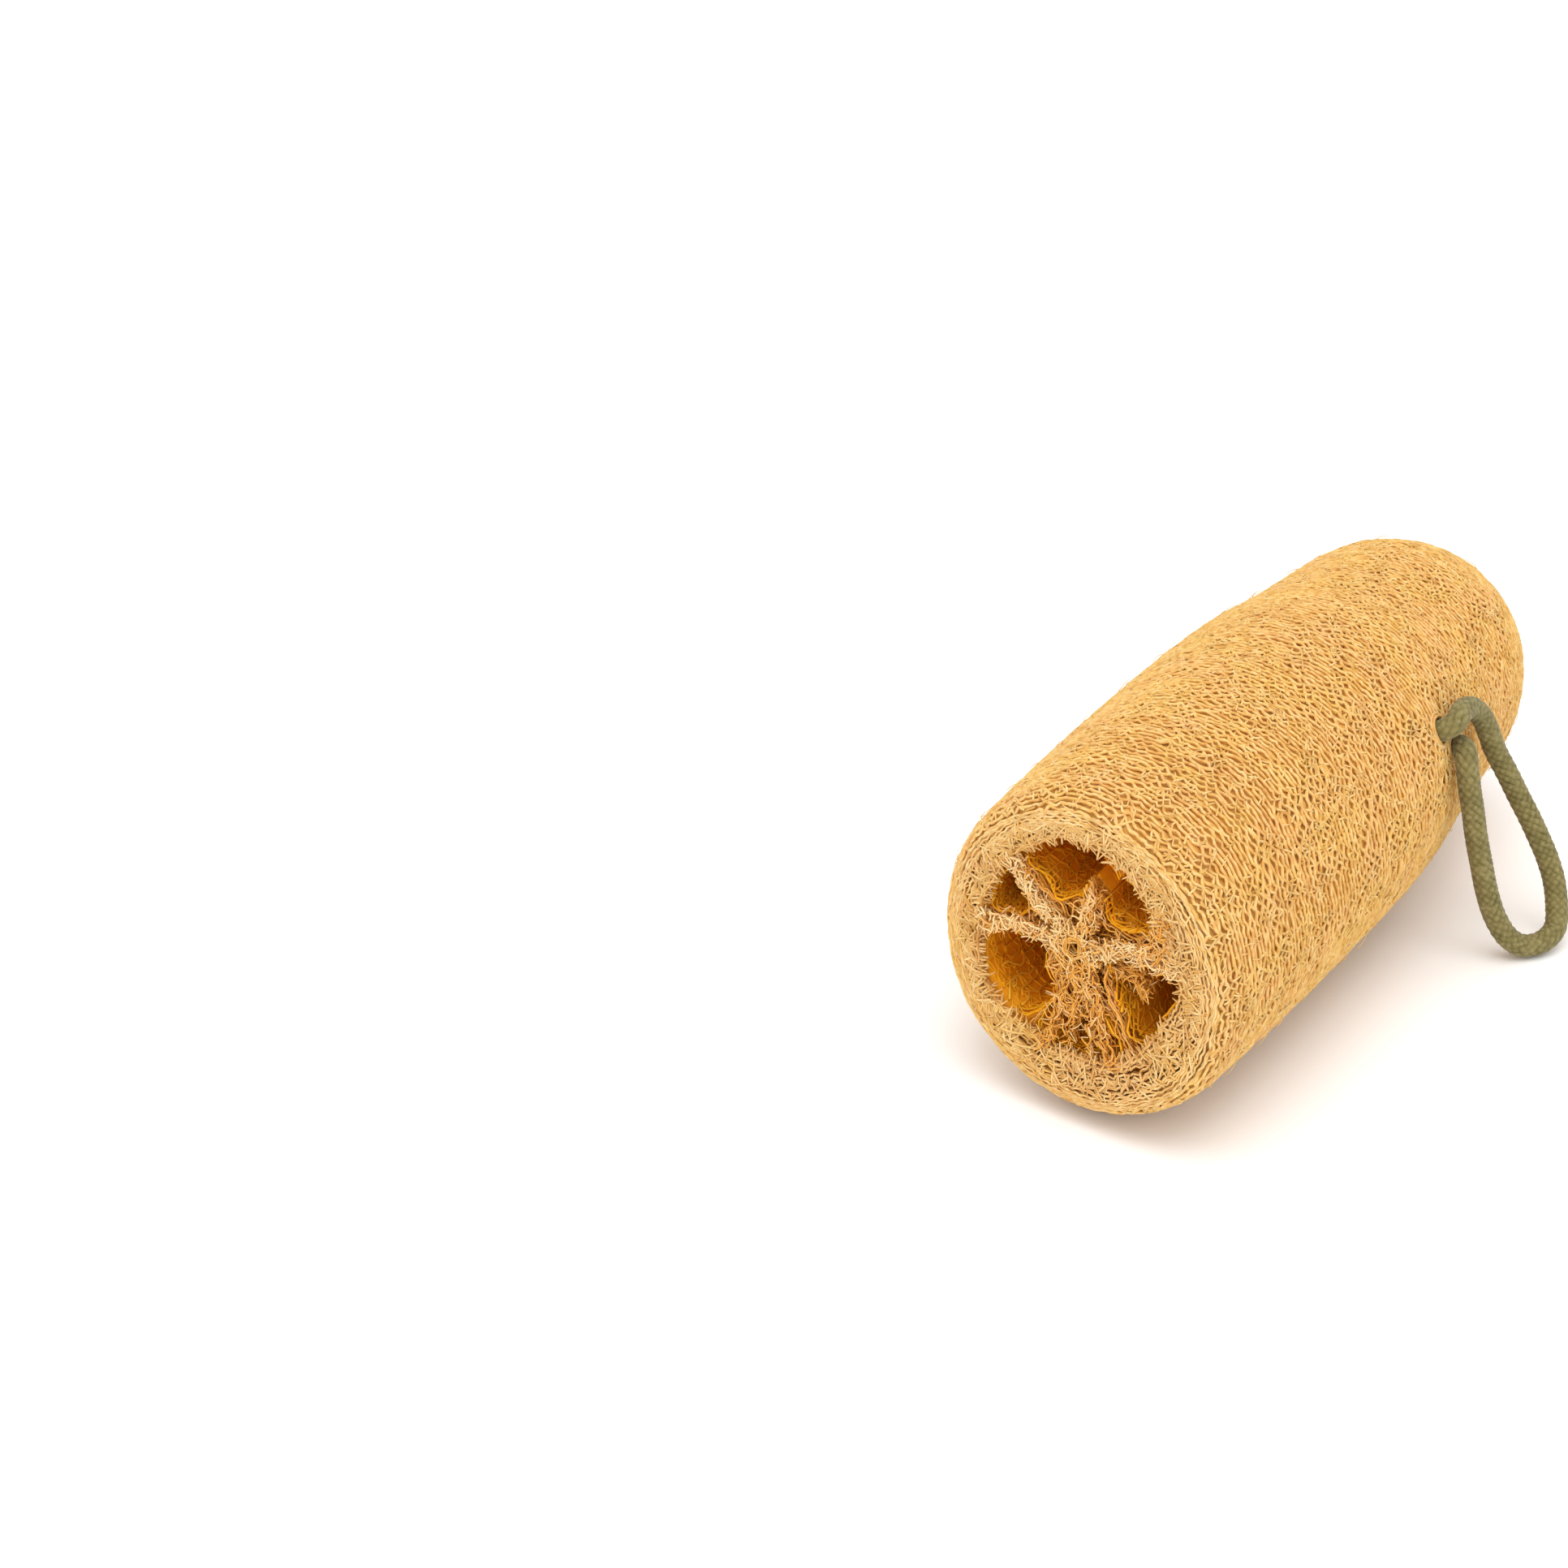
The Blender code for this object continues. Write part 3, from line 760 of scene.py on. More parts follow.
def surfaceFibres(plan):
    # Loose fibres on or under the skin, each heading its own way with a slow turn
    fibres = []
    start = lengthAtRadius(net["startRadius"])
    for _ in range(plan["count"]):
        length = rng.uniform(*plan["lengths"])
        count = max(4, int(length / plan["step"]))
        heading = plan["heading"] * rng.choice([-1, 1]) + rng.normal(0.0, plan["spread"])
        heading = heading + drift(count, plan["turn"])
        along = rng.uniform(0.0, 1.0) ** plan.get("towardsCut", 1.0)
        t = start + along * (lineEnd - 5.0 - start) + np.cumsum(np.cos(heading)) * plan["step"]
        t = t[(t > start - 1.0) & (t < lineEnd - 3.0)]
        if len(t) < 4:
            continue
        radius = np.interp(t, lineLengths, turnedLine[:, 0])
        turned = np.cumsum(np.sin(heading[:len(t)]) * plan["step"] / np.maximum(radius, 5.0))
        arch = np.sin(np.linspace(0.0, rng.uniform(1.8, math.pi), len(t)))
        depth = rng.uniform(*plan["depth"]) - rng.uniform(*plan["arch"]) * arch
        points = onSponge(t, rng.uniform(0.0, math.tau) + turned, depth, floorGap=0.25)
        thick = rng.uniform(*plan["radius"]) * np.linspace(1.0, plan["taper"], len(t))
        if clearOfCord(points).all():
            fibres.append((points, thick, False, rng.uniform(*plan["tone"])))
    return fibres


# Fibres that run along the sponge under the skin net, seen in its pits
underNet = {"count": 190, "step": 1.6, "radius": (0.24, 0.36), "depth": (0.6, 0.82), "arch": (-0.1, 0.1),
            "lengths": (25.0, 70.0), "heading": 0.0, "spread": 0.4, "turn": 0.5, "taper": 1.0,
            "tone": (0.1, 0.9)}
finishPiece(fibreObject("underNet", surfaceFibres(underNet), underFibre), "loofah_fibre")

# Short curled ties that cross from strand to strand on the skin
ties = {"count": 4300, "step": 0.75, "radius": (0.17, 0.28), "depth": (0.2, 0.42), "arch": (0.02, 0.12),
        "lengths": (2.4, 3.6), "heading": 0.35, "spread": 0.7, "turn": 1.5, "taper": 0.7, "tone": (0.1, 1.0),
        "towardsCut": 1.35}
finishPiece(fibreObject("crossTies", surfaceFibres(ties), skinFibre), "loofah_fibre")

# Loose ends that stand off the skin and soften the outline
loose = {"count": 700, "step": 0.8, "radius": (0.06, 0.12), "depth": (0.15, 0.3), "arch": (0.25, 0.85),
         "lengths": (3.0, 6.5), "heading": math.pi / 2, "spread": 0.5, "turn": 0.9, "taper": 0.5,
         "tone": (0.5, 1.0)}
finishPiece(fibreObject("looseFibres", surfaceFibres(loose), skinFibre), "loofah_fibre")


# Strands of the skin that hug the cord where it goes through the wall
collar = {"strands": 16, "points": 20, "reach": (2.4, 3.3), "sweep": (2.0, 5.0), "radius": (0.2, 0.34),
          "slide": 8.0, "slideSteps": 321}      # how far along the cord the skin is looked for


def cordCollar():
    fibres = []
    sideRadii, sideDepths = zip(*sponge["side"][:-1])
    away = np.hypot(cordPath[:, 0], cordPath[:, 2] - sponge["axisHeight"])
    outside = away > np.interp(cordPath[:, 1] - sponge["frontY"], sideDepths, sideRadii)
    slide = np.linspace(-collar["slide"], collar["slide"], collar["slideSteps"])
    for root in np.flatnonzero(np.diff(outside.astype(int))):
        along = cordPath[root + 1] - cordPath[root]
        along /= np.linalg.norm(along)
        first = np.cross(along, (0.0, 1.0, 0.0))
        first /= np.linalg.norm(first)
        second = np.cross(along, first)
        for _ in range(collar["strands"]):
            count = collar["points"]
            angle = rng.uniform(0.0, math.tau) + np.linspace(0.0, rng.uniform(*collar["sweep"]), count)
            reach = rng.uniform(*collar["reach"]) + np.abs(drift(count, 0.3))
            ring = cordPath[root] + reach[:, None] * (np.cos(angle)[:, None] * first
                                                      + np.sin(angle)[:, None] * second)
            trial = ring[:, None, :] + slide[None, :, None] * along
            radius = np.hypot(trial[..., 0], trial[..., 2] - sponge["axisHeight"])
            skin = np.interp(trial[..., 1] - sponge["frontY"], sideDepths, sideRadii) - rng.uniform(-0.1, 0.4)
            points = trial[np.arange(count), np.abs(radius - skin).argmin(axis=1)]
            fibres.append((points * mm, rng.uniform(*collar["radius"]), False, rng.uniform(0.2, 1.0)))
    return fibres


finishPiece(fibreObject("cordCollar", cordCollar(), skinFibre), "loofah_fibre")
print("skin net spun")


# Cut face. Small holes that the strands part round, as (x, height, radius)
face = {
    "holes": [
        (-1.8, 2.2, 1.35), (-0.7, -0.3, 0.5), (-2.0, -1.8, 0.45), (-5.4, -5.0, 0.6), (-6.0, 7.9, 0.6),
        (-4.6, -8.6, 0.55), (1.0, -7.6, 0.6), (3.2, -4.3, 0.5), (15.6, 8.6, 0.6), (16.9, 6.9, 0.5),
        (-8.6, -18.3, 0.8), (-7.2, -20.6, 0.6), (-5.4, -22.4, 0.6), (-1.4, -20.3, 0.75), (-3.6, -20.6, 0.6),
        (2.2, -22.5, 0.65), (1.0, -20.2, 0.6), (3.6, -19.8, 0.6), (5.8, -21.3, 0.7), (8.2, -21.6, 0.6),
        (7.6, -19.2, 0.65), (10.2, -19.0, 0.7), (12.0, -19.6, 0.55), (12.4, -16.4, 0.7), (10.0, -15.2, 0.65),
        (14.2, -13.8, 0.6), (-11.0, -18.6, 0.65), (-13.2, -17.0, 0.6), (-10.2, -20.8, 0.55),
        (-0.6, -23.6, 0.5), (5.0, -23.6, 0.5), (-16.0, -16.0, 0.5), (15.8, -10.8, 0.55)],
    "holeBlend": 1.7,          # a hole pushes strands aside out to this many of its radii
    "coreCentre": (-2.0, 1.2),
    "gridHalf": 32.0,
    "gridStep": 0.4,
}
holes = np.array(face["holes"])

# Where the wall's band begins, as (degrees from +X, radius)
rim = {
    "innerEdge": [(-167, 22.4), (-152, 22.0), (-138, 21.2), (-122, 19.6), (-99, 18.8), (-77, 18.8),
                  (-51, 18.2), (-31, 18.0), (-10, 19.3), (7, 20.4), (18, 17.6), (39, 18.6), (53, 20.0),
                  (68, 20.9), (84, 21.9), (100, 22.2), (119, 22.3), (133, 21.6), (152, 21.3), (176, 21.6)],
    "outerRadius": 27.5,
    "rings": 17,
    "layers": [(0.02, 0.24), (0.55, 0.30), (1.15, 0.34)],     # depth and strand radius of each layer
    "points": 180,
    "swing": 0.18,
    "paintedLowShade": 0.16,         # painted shade: the band is darker along the bottom and the left
    "teeth": 420,
    "cross": 520,
}


def partRoundHoles(places):
    # Strands near a hole's middle are moved out to its edge
    spread = places[:, None, :] - holes[None, :, :2]
    away = np.linalg.norm(spread, axis=2)
    nearest = (away / holes[:, 2]).argmin(axis=1)
    rows = np.arange(len(places))
    radius = holes[nearest, 2]
    distance = np.maximum(away[rows, nearest], 0.02)
    moved = radius + distance * (1.0 - 1.0 / face["holeBlend"])
    target = np.where(distance < radius * face["holeBlend"], moved, distance)
    return holes[nearest, :2] + spread[rows, nearest] * (target / distance)[:, None]


def innerEdge(angle):
    # Radius of the wall's inner edge at an angle
    degrees, radii = zip(*rim["innerEdge"])
    turned = (np.degrees(angle) + 180.0) % 360.0 - 180.0
    return np.interp(turned, degrees, radii, period=360.0)


def rimBand():
    # The wall's cut edge: fine strands that follow its inner edge, layer behind layer
    fibres = []
    angle = np.linspace(0.0, math.tau, rim["points"], endpoint=False)
    wander = waves(20, 12, 1.5, 0.28)
    lift = waves(24, 20, 2.0, 0.12)
    for layerDepth, strand in rim["layers"]:
        for index in range(rim["rings"] + 1):
            share = (index + rng.uniform(-0.3, 0.3)) / rim["rings"]
            inner = innerEdge(angle) + drift(len(angle), 0.25)
            radius = inner + (rim["outerRadius"] - inner) * share + wander(angle, index)
            radius = radius + rim["swing"] * np.sin(angle * rng.integers(50, 75) + rng.uniform(0.0, math.tau))
            places = partRoundHoles(np.stack([radius * np.cos(angle), radius * np.sin(angle)], axis=1))
            depth = np.maximum(layerDepth + 0.25 + lift(angle, index), 0.2)
            thick = strand * (1.0 + rng.normal(0.0, 0.10, len(angle)))
            # Random tone, lighter towards the outer edge; painted shade: deeper layers darker, and the band
            # darker along the bottom and the left
            tone = 0.56 + 0.24 * share - 0.28 * layerDepth + rng.normal(0.0, 0.2, len(angle))
            tone = tone - rim["paintedLowShade"] * np.clip(-np.sin(angle + 0.9), 0.0, 1.0)
            points = onSponge(lengthAtRadius(np.hypot(places[:, 0], places[:, 1])),
                              np.arctan2(places[:, 1], places[:, 0]), depth, floorGap=0.3)
            fibres.append((points, thick, True, tone))
    return fibres


def rimTeeth():
    # Torn ends of the wall's inner fibres all round the chambers' outer edge, and short
    # fibres that cross the band
    fibres = []
    for _ in range(rim["teeth"]):
        bearing = rng.uniform(0.0, math.tau)
        inner = float(innerEdge(bearing))
        radius = np.linspace(inner + rng.uniform(0.6, 2.2), inner - rng.uniform(0.3, 1.9), 6)
        bend = bearing + np.linspace(0.0, rng.normal(0.0, 0.07), 6)
        places = partRoundHoles(np.stack([radius * np.cos(bend), radius * np.sin(bend)], axis=1))
        depth = rng.uniform(-0.05, 0.9) + np.linspace(0.0, rng.uniform(0.0, 1.4), 6)
        thick = rng.uniform(0.22, 0.42) * np.linspace(1.0, 0.4, 6)
        fibres.append((onFace(places, depth), thick, False, np.linspace(0.65, rng.uniform(0.3, 1.0), 6)))
    for _ in range(rim["cross"]):
        bearing = rng.uniform(0.0, math.tau)
        inner = float(innerEdge(bearing))
        span = rng.uniform(1.2, 3.4)
        radius = np.linspace(0.0, span, 5) + inner + rng.uniform(0.0, 26.8 - inner - span)
        bend = bearing + np.linspace(0.0, rng.normal(0.0, 0.10), 5)
        places = partRoundHoles(np.stack([radius * np.cos(bend), radius * np.sin(bend)], axis=1))
        depth = rng.uniform(0.0, 0.3) - 0.18 * np.sin(np.linspace(0.0, math.pi, 5))
        fibres.append((onFace(places, depth), rng.uniform(0.12, 0.24), False, rng.uniform(0.4, 1.0)))
    return fibres


finishPiece(fibreObject("rimBand", rimBand(), rimFibre), "loofah_fibre")
finishPiece(fibreObject("rimTeeth", rimTeeth(), rimFibre), "loofah_fibre")


# The star: bundles that leave the core along the webs, with their widths at start, middle and end
star = {
    "core": {"route": [(-5.2, 3.2), (-3.0, 1.6), (-0.8, 0.4), (1.4, -1.2)], "widths": (4.0, 7.6, 5.0),
             "strands": 110, "tone": 0.55, "curl": 0.9},
    "upperLeftArm": {"route": [(-3.6, 3.4), (-6.2, 5.8), (-9.0, 7.2), (-11.4, 9.0), (-13.0, 11.8),
                               (-15.2, 14.8)],
                     "widths": (3.8, 1.9, 3.4), "strands": 80, "tone": 0.85},
    "leftArm": {"route": [(-3.6, 1.0), (-7.0, 1.6), (-10.5, 2.2), (-13.5, 2.2), (-17.0, 1.9), (-21.2, 1.0)],
                "widths": (3.6, 1.8, 3.6), "strands": 80, "tone": 0.85},
    "topArm": {"route": [(-0.8, 3.0), (0.1, 5.5), (0.4, 8.2), (0.9, 10.6), (1.3, 12.4)],
               "widths": (4.4, 2.6, 1.6), "strands": 60, "tone": 0.65},
    "curledBand": {"route": [(0.4, 1.8), (3.4, 2.6), (6.4, 4.2), (9.4, 4.9), (12.6, 4.7),
                             (15.8, 4.9), (19.0, 5.0)],
                   "widths": (3.2, 2.4, 4.4), "strands": 110, "tone": 0.85},
    "lowerRightFan": {"route": [(0.2, -1.6), (2.5, -5.2), (4.2, -9.4), (5.6, -13.6), (7.6, -17.8)],
                      "widths": (3.8, 1.6, 2.4), "strands": 56, "tone": 0.5},
    "lowerLeftFan": {"route": [(-2.8, -1.8), (-4.0, -6.4), (-4.4, -10.4), (-5.4, -14.6), (-7.4, -18.6)],
                     "widths": (4.0, 1.6, 2.4), "strands": 56, "tone": 0.45},
    "lowerMiddle": {"route": [(-1.0, -2.2), (-0.9, -6.2), (-1.4, -9.4), (-2.0, -13.0), (-1.6, -16.4)],
                    "widths": (4.4, 2.0, 1.0), "strands": 42, "tone": 0.45},
    "lowerStrut": {"route": [(1.2, -3.0), (1.7, -7.4), (2.2, -11.4), (2.6, -15.2), (3.0, -18.0)],
                   "widths": (2.4, 0.9, 1.4), "strands": 26, "tone": 0.6},
    "rightWeb": {"route": [(13.2, 5.2), (15.0, 8.2), (15.6, 11.6), (14.6, 15.4)],
                 "widths": (3.6, 3.0, 4.0), "strands": 50, "tone": 0.55},
    "innerLobe": {"route": [(3.4, -0.2), (6.4, 0.2), (9.0, -0.2), (10.9, -1.6), (11.9, -3.4)],
                  "widths": (3.0, 3.6, 1.4), "strands": 60, "tone": 0.45, "depth": 2.4},
}
strandPlan = {"step": 0.6, "lengths": (3.0, 8.0), "radius": (0.12, 0.22), "curl": 0.28, "curlLength": 2.6,
              "depth": 5.2, "whiskers": 14, "tiesPerStrand": 2.6, "tieSpread": 0.85}


def starBundles():
    # Curled strands, densest near the front of each arm, short fibres netted across them, and
    # whiskers torn loose at the edges
    fibres = []
    for plan in star.values():
        route = smoothThrough([(x, z, 0.0) for x, z in plan["route"]])
        middle = evenlySpaced(route[:, :2], strandPlan["step"])
        heading = np.gradient(middle, axis=0)
        heading /= np.linalg.norm(heading, axis=1)[:, None]
        across = np.stack([-heading[:, 1], heading[:, 0]], axis=1)
        width = np.interp(np.linspace(0.0, 2.0, len(middle)), [0, 1, 2], plan["widths"])
        front = plan.get("depth", 0.0)
        for _ in range(int(plan["strands"] * strandPlan["tiesPerStrand"])):
            spot = rng.integers(0, len(middle))
            count = rng.integers(4, 7)
            bearing = math.atan2(heading[spot, 1], heading[spot, 0])
            bearing = bearing + rng.normal(0.0, strandPlan["tieSpread"])
            bearing = bearing + np.cumsum(rng.normal(0.0, 0.35, count))
            steps = strandPlan["step"] * np.stack([np.cos(bearing), np.sin(bearing)], axis=1)
            start = middle[spot] + across[spot] * rng.uniform(-0.5, 0.5) * width[spot] - steps.sum(axis=0) / 2
            layer = rng.uniform(0.0, 1.0) ** 2.2
            depth = np.maximum(front + strandPlan["depth"] * layer + drift(count, 0.5) - 0.15, -0.3)
            # Random tone, with painted shade: deeper layers darker
            tone = plan["tone"] - 0.5 * layer + rng.uniform(-0.3, 0.3)
            places = partRoundHoles(start + np.cumsum(steps, axis=0))
            fibres.append((onFace(places, depth), rng.uniform(0.1, 0.2), False, tone))
        for _ in range(plan["strands"] // 2):
            count = min(len(middle), int(rng.uniform(*strandPlan["lengths"]) / strandPlan["step"]))
            first = rng.integers(0, len(middle) - count + 1)
            part = slice(first, first + count)
            phase = np.arange(count) * strandPlan["step"] * math.tau / strandPlan["curlLength"]
            phase = phase + rng.uniform(0.0, math.tau)
            curl = plan.get("curl", strandPlan["curl"]) * rng.uniform(0.3, 1.2)
            aside = rng.uniform(-0.5, 0.5) * width[part] + curl * np.sin(phase) + drift(count, 0.6)
            places = partRoundHoles(middle[part] + across[part] * aside[:, None])
            layer = rng.uniform(0.0, 1.0) ** 1.7
            depth = front + strandPlan["depth"] * layer + 0.6 * curl * np.cos(phase) + drift(count, 0.6)
            thick = rng.uniform(*strandPlan["radius"]) * np.sin(np.linspace(0.6, math.pi - 0.6, count)) ** 0.5
            # Random tone, with painted shade: deeper layers darker
            tone = plan["tone"] - 0.55 * layer + rng.uniform(-0.2, 0.2) + 0.12 * np.cos(phase)
            fibres.append((onFace(places, np.maximum(depth, -0.3)), thick, False, tone))
        for _ in range(strandPlan["whiskers"]):
            spot = rng.integers(0, len(middle))
            way = rng.choice([-1.0, 1.0])
            start = middle[spot] + across[spot] * way * width[spot] * rng.uniform(0.2, 0.45)
            aim = across[spot] * way + heading[spot] * rng.normal(0.0, 0.8)
            reach = np.linspace(0.0, rng.uniform(1.0, 2.8), 4)[:, None]
            places = start + aim * reach + heading[spot] * 0.12 * reach ** 2 * rng.normal()
            depth = front + rng.uniform(0.0, 1.5) + 0.3 * reach[:, 0] * rng.uniform(-0.3, 1.0)
            fibres.append((onFace(places, depth), rng.uniform(0.1, 0.18) * np.linspace(1.0, 0.5, 4), False,
                           rng.uniform(0.5, 1.0)))
    return fibres


def chamberDistance():
    # Distance from each grid place to the nearest chamber edge, negative inside a chamber
    axis = np.arange(-face["gridHalf"], face["gridHalf"] + face["gridStep"], face["gridStep"])
    gridX, gridZ = np.meshgrid(axis, axis, indexing="ij")
    best = np.full(gridX.shape, 99.0)
    for outline in [*chamberOutlines.values(), *tornLoops.values()]:
        inside = within(gridX, gridZ, outline)
        nearest = np.full(gridX.shape, 99.0)
        for (ax, az), (bx, bz) in zip(outline, np.roll(outline, -1, axis=0)):
            spanX, spanZ = bx - ax, bz - az
            share = ((gridX - ax) * spanX + (gridZ - az) * spanZ) / (spanX ** 2 + spanZ ** 2)
            share = np.clip(share, 0.0, 1.0)
            nearest = np.minimum(nearest, np.hypot(gridX - ax - share * spanX, gridZ - az - share * spanZ))
        best = np.minimum(best, np.where(inside, -nearest, nearest))
    return best


faceDistance = chamberDistance()


def fromChamber(x, z):
    # The grid's distance at one place
    i = int(np.clip(round((x + face["gridHalf"]) / face["gridStep"]), 0, faceDistance.shape[0] - 1))
    j = int(np.clip(round((z + face["gridHalf"]) / face["gridStep"]), 0, faceDistance.shape[1] - 1))
    return float(faceDistance[i, j])


web = {"fibres": 400, "step": 0.75, "radius": (0.12, 0.24), "steps": 18, "depth": (1.4, 5.2),
       "turns": (-1.1, -0.7, -0.35, 0.0, 0.35, 0.7, 1.1),
       "endRadius": 22.5}       # inside the wall's band


def webFibres():
    # Finer fibres that leave the core, flow round the chambers through the webs and end in the wall
    fibres = []
    centreX, centreZ = face["coreCentre"]
    for _ in range(web["fibres"]):
        bearing = rng.uniform(0.0, math.tau)
        start = rng.uniform(1.6, 15.0)
        x = centreX + start * math.cos(bearing)
        z = centreZ + start * math.sin(bearing)
        heading = bearing + rng.normal(0.0, 0.7)
        trail = [(x, z)]
        wish = rng.uniform(0.25, 1.0)
        for _ in range(web["steps"]):
            outward = math.atan2(z - centreZ, x - centreX)
            options = []
            for turn in web["turns"]:
                trial = heading + turn
                newX = x + web["step"] * math.cos(trial)
                newZ = z + web["step"] * math.sin(trial)
                room = fromChamber(newX, newZ)
                score = (wish * math.cos(trial - outward) + 1.8 * min(room, 0.8) - 0.3 * abs(turn)
                         + rng.normal(0.0, 0.3))
                options.append((score, trial, newX, newZ, room))
            _, heading, x, z, room = max(options)
            if room < -0.3 or math.hypot(x, z) > web["endRadius"]:
                break
            trail.append((x, z))
        if len(trail) < 5:
            continue
        places = partRoundHoles(np.array(trail))
        layer = rng.uniform(0.0, 1.0)
        depth = np.interp(layer, [0.0, 1.0], web["depth"]) + drift(len(trail), 0.8)
        thick = rng.uniform(*web["radius"]) * np.linspace(1.1, 0.8, len(trail))
        # Random tone, with painted shade: deeper layers darker
        tone = 0.5 - 0.5 * layer + rng.uniform(-0.15, 0.25)
        fibres.append((onFace(places, depth), thick, False, tone))
    return fibres


finishPiece(fibreObject("starBundles", starBundles(), coreFibre), "loofah_fibre")
finishPiece(fibreObject("webFibres", webFibres(), coreFibre), "loofah_fibre")


# Chamber lining: rings and long fibres on the chamber walls, as deep as the light reaches
lining = {"front": (2.6, 6.0, 0.8), "back": (6.0, 46.0, 1.6), "radius": (0.14, 0.3),
          "longFibres": 40, "longStep": 1.4, "longStart": (1.2, 6.0), "reach": 48.0,
          "tornStep": 0.7, "tornFibres": 260}


def chamberLining():
    fibres = []
    for name, outline in chamberOutlines.items():
        reach = min(lining["reach"], chambers["depths"][name] * 0.85)
        count = len(outline)
        phase = np.linspace(0.0, math.tau, count, endpoint=False)
        levels = np.concatenate([np.arange(*lining["front"]), np.arange(*lining["back"])])
        for depth in levels[levels < reach]:
            ring = chamberRing(name, depth, inset=rng.uniform(-0.1, 0.2))
            sway = 1.1 * np.sin(phase * rng.integers(2, 9) + rng.uniform(0, 6)) + rng.normal(0.0, 0.35, count)
            level = depth + sway
            points = onFace(ring, level)
            tone = 0.5 + rng.normal(0.0, 0.15, count)
            strand = rng.uniform(*lining["radius"])
            gone = tornAway(ring, level)
            if gone.any():
                fibres += [(points[run], strand, False, tone[run]) for run in runsOf(~gone)]
            else:
                fibres.append((points, strand, True, tone))
        for _ in range(lining["longFibres"]):
            depths = np.arange(rng.uniform(*lining["longStart"]), rng.uniform(0.5, 1.0) * reach,
                               lining["longStep"])
            spots = rng.integers(0, count) + np.cumsum(rng.normal(0.0, 0.45, len(depths)))
            places = np.array([chamberRing(name, depth, inset=0.2)[int(round(spot)) % count]
                               for depth, spot in zip(depths, spots)])
            if not tornAway(places, depths).any():
                fibres.append((onFace(places, depths), rng.uniform(*lining["radius"]), False,
                               rng.uniform(0.3, 1.0)))
    return fibres


def inChamber(places, depth):
    # True for places that open into a seed chamber at a depth
    return np.any([within(places[:, 0], places[:, 1], chamberRing(name, depth)) for name in chamberOutlines],
                  axis=0)


def tornEdges():
    # Fibres over the raw faces of the torn webs: round their sides and across the web behind
    fibres = []
    for name, (_, reach) in torn.items():
        for depth in np.arange(1.5, reach + 0.2, lining["tornStep"]):
            ring = tornRing(name, min(depth, reach)) + rng.normal(0.0, 0.06, tornLoops[name].shape)
            opens = inChamber(ring, depth)
            if opens.any():
                points = onFace(ring, depth + rng.normal(0.0, 0.3, len(ring)))
                fibres += [(points[run], rng.uniform(*lining["radius"]), False, rng.uniform(0.2, 0.9))
                           for run in runsOf(~opens)]
        end = tornRing(name, reach)
        low, high = end.min(axis=0), end.max(axis=0)
        for _ in range(lining["tornFibres"]):
            bearing = rng.uniform(0.0, math.tau) + np.cumsum(rng.normal(0.0, 0.4, 6))
            steps = 0.6 * np.stack([np.cos(bearing), np.sin(bearing)], axis=1)
            places = rng.uniform(low, high) + np.cumsum(steps, axis=0)
            if within(places[:, 0], places[:, 1], end).all() and not inChamber(places, reach).any():
                fibres.append((onFace(places, reach - rng.uniform(0.0, 1.2)), rng.uniform(*lining["radius"]),
                               False, rng.uniform(0.1, 0.9)))
    return fibres


finishPiece(fibreObject("chamberLining", chamberLining(), liningFibre), "loofah_fibre")
finishPiece(fibreObject("tornEdges", tornEdges(), liningFibre), "loofah_fibre")
print("cut face laid")


# Stem scar: a small woody plug where the gourd hung
scar = {"radius": 2.7, "height": 1.3, "taper": 0.72, "dish": 0.4, "dishEdge": 0.7, "bevel": 0.22, "sides": 28,
        "sunk": 1.0, "tone": 0.25}


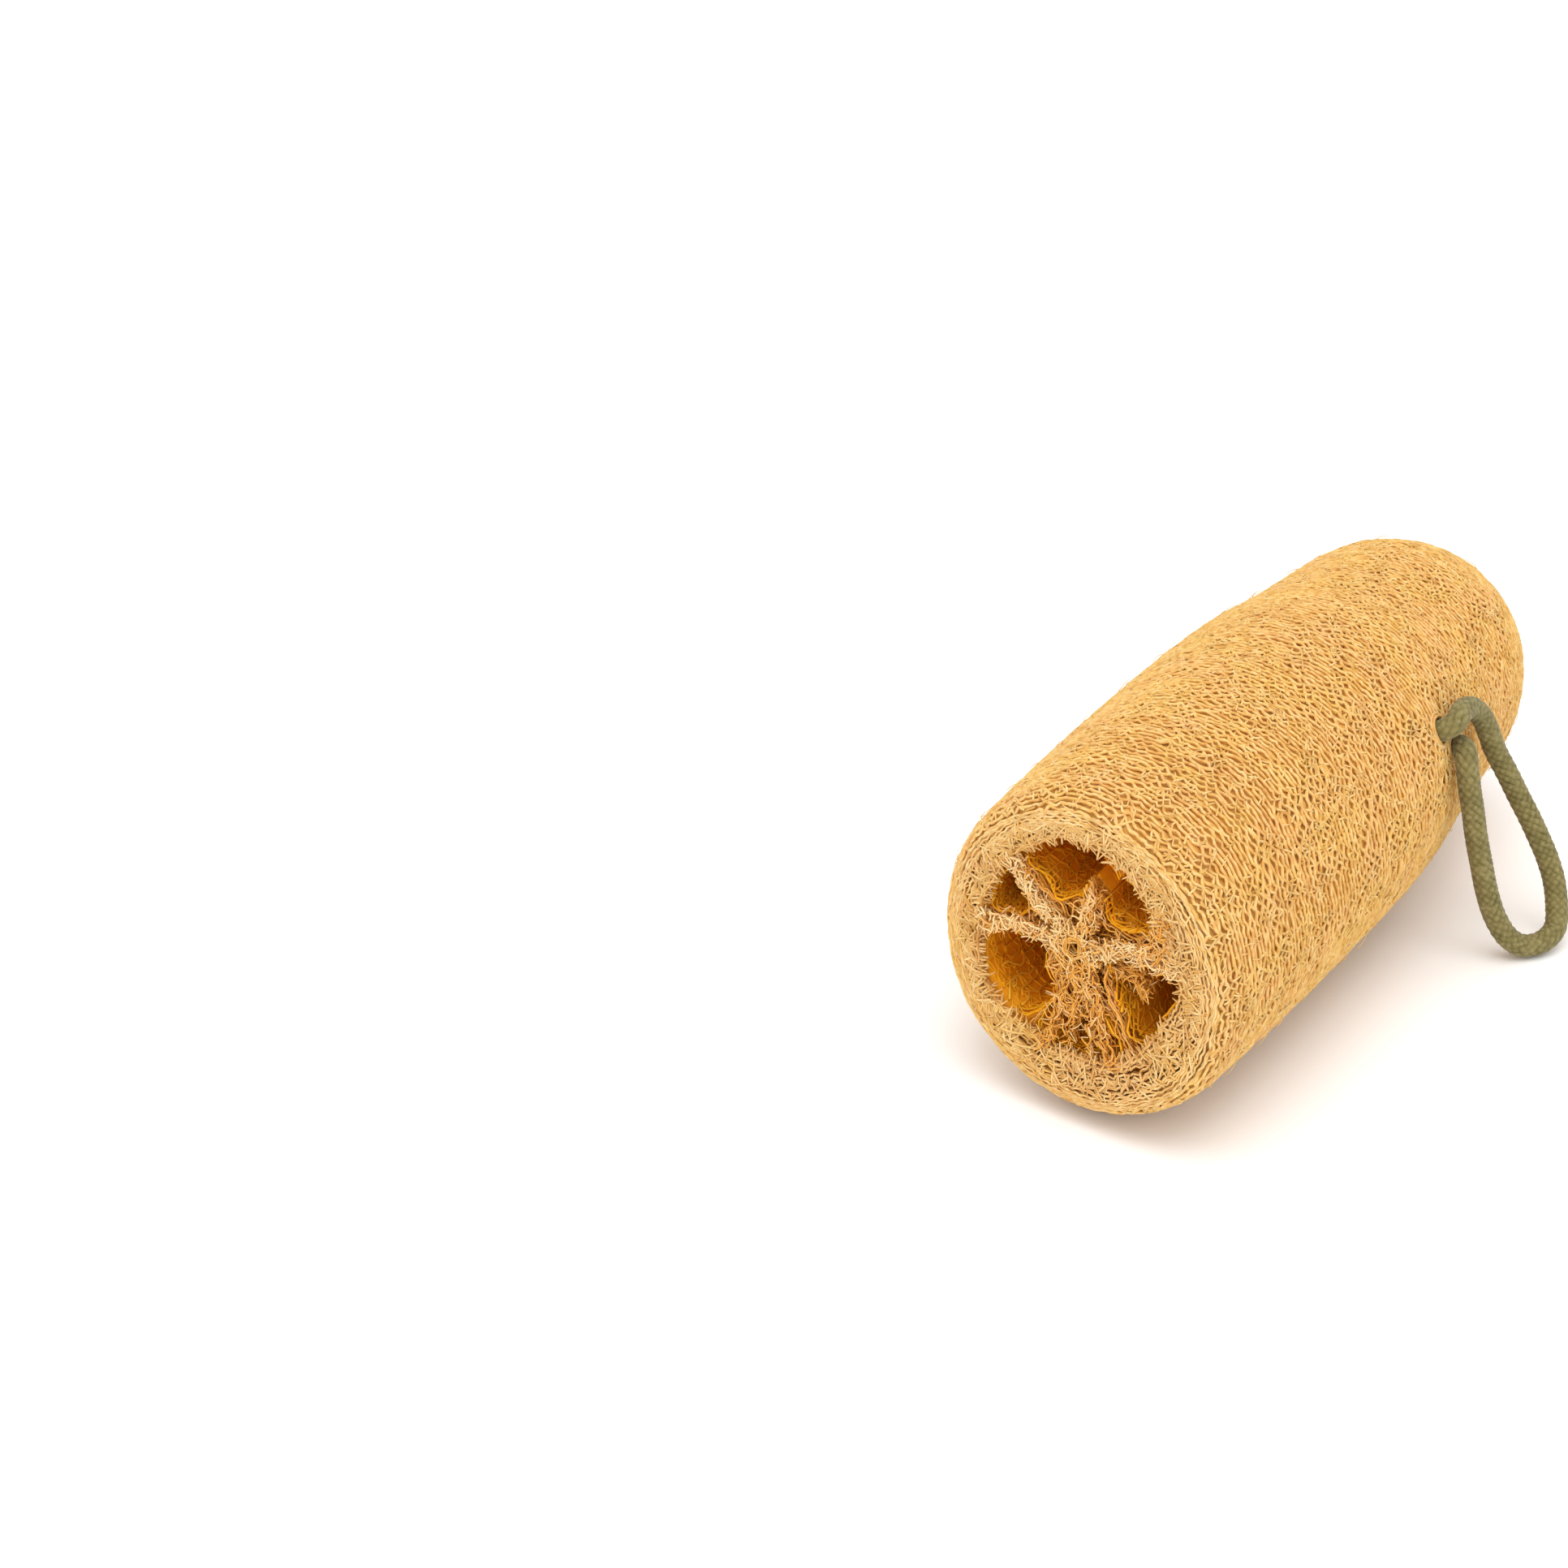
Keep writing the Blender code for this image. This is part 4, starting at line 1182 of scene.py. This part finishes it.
def stemScar():
    work = bmesh.new()
    bmesh.ops.create_cone(work, cap_ends=True, segments=scar["sides"], radius1=scar["radius"] * mm,
                          radius2=scar["radius"] * scar["taper"] * mm, depth=scar["height"] * mm)
    bmesh.ops.bevel(work, geom=work.edges[:], offset=scar["bevel"] * mm, segments=2, profile=0.5,
                    affect="EDGES", material=-1)
    top = [f for f in work.faces if f.normal.z > 0.9]
    bmesh.ops.inset_region(work, faces=top, thickness=scar["dishEdge"] * mm, depth=-scar["dish"] * mm)
    leanX, leanZ = sponge["farLean"]
    for vertex in work.verts:
        x, y, z = vertex.co / mm
        vertex.co = Vector((x + leanX, sponge["backY"] - scar["sunk"] + z,
                            sponge["axisHeight"] + leanZ + y)) * mm
    bmesh.ops.recalc_face_normals(work, faces=work.faces)
    mesh = meshFrom(work, "stemScar")
    addValues(mesh, "tone", np.full(len(mesh.vertices), scar["tone"]))
    mesh.materials.append(underFibre)
    mesh.shade_smooth()
    return link(mesh, "stemScar")


finishPiece(stemScar(), "loofah_fibre")


# Studio: white floor, white surround and soft light from above
studio = {"floorHalf": 3.0, "floorColour": "ffffff", "worldStrength": 1.02,
          "keyPower": 7.0, "keySize": 1.1, "keyPlace": (0.2, -0.4, 1.3),
          "fillPower": 2.0, "fillPlace": (0.3, -1.3, 0.7)}


def studioFloor():
    work = bmesh.new()
    bmesh.ops.create_grid(work, x_segments=1, y_segments=1, size=studio["floorHalf"])
    mesh = meshFrom(work, "studioFloor")
    material, _, shader = newMaterial("paintedStudioFloor")     # matt white paint
    shader.inputs["Base Color"].default_value = hexColour(studio["floorColour"])
    shader.inputs["Roughness"].default_value = 0.9
    shader.inputs["Specular IOR Level"].default_value = 0.1
    mesh.materials.append(material)
    return link(mesh, "studioFloor")


def softLight(name, place, power):
    lamp = bpy.data.lights.new(name, "AREA")
    lamp.shape = "DISK"
    lamp.size = studio["keySize"]
    lamp.energy = power
    holder = bpy.data.objects.new(name, lamp)
    bpy.context.scene.collection.objects.link(holder)
    holder.location = place
    holder.rotation_euler = (Vector((0, 0, 0.03)) - Vector(place)).to_track_quat("-Z", "Y").to_euler()


studioFloor()
softLight("keyLight", studio["keyPlace"], studio["keyPower"])
softLight("fillLight", studio["fillPlace"], studio["fillPower"])
world = bpy.data.worlds.new("studioSurround")
world.use_nodes = True
world.node_tree.nodes["Background"].inputs[0].default_value = (1.0, 1.0, 1.0, 1.0)
world.node_tree.nodes["Background"].inputs[1].default_value = studio["worldStrength"]
bpy.context.scene.world = world
bpy.context.scene.view_settings.view_transform = "Standard"     # white stays white, as in the photograph
print("studio lit")
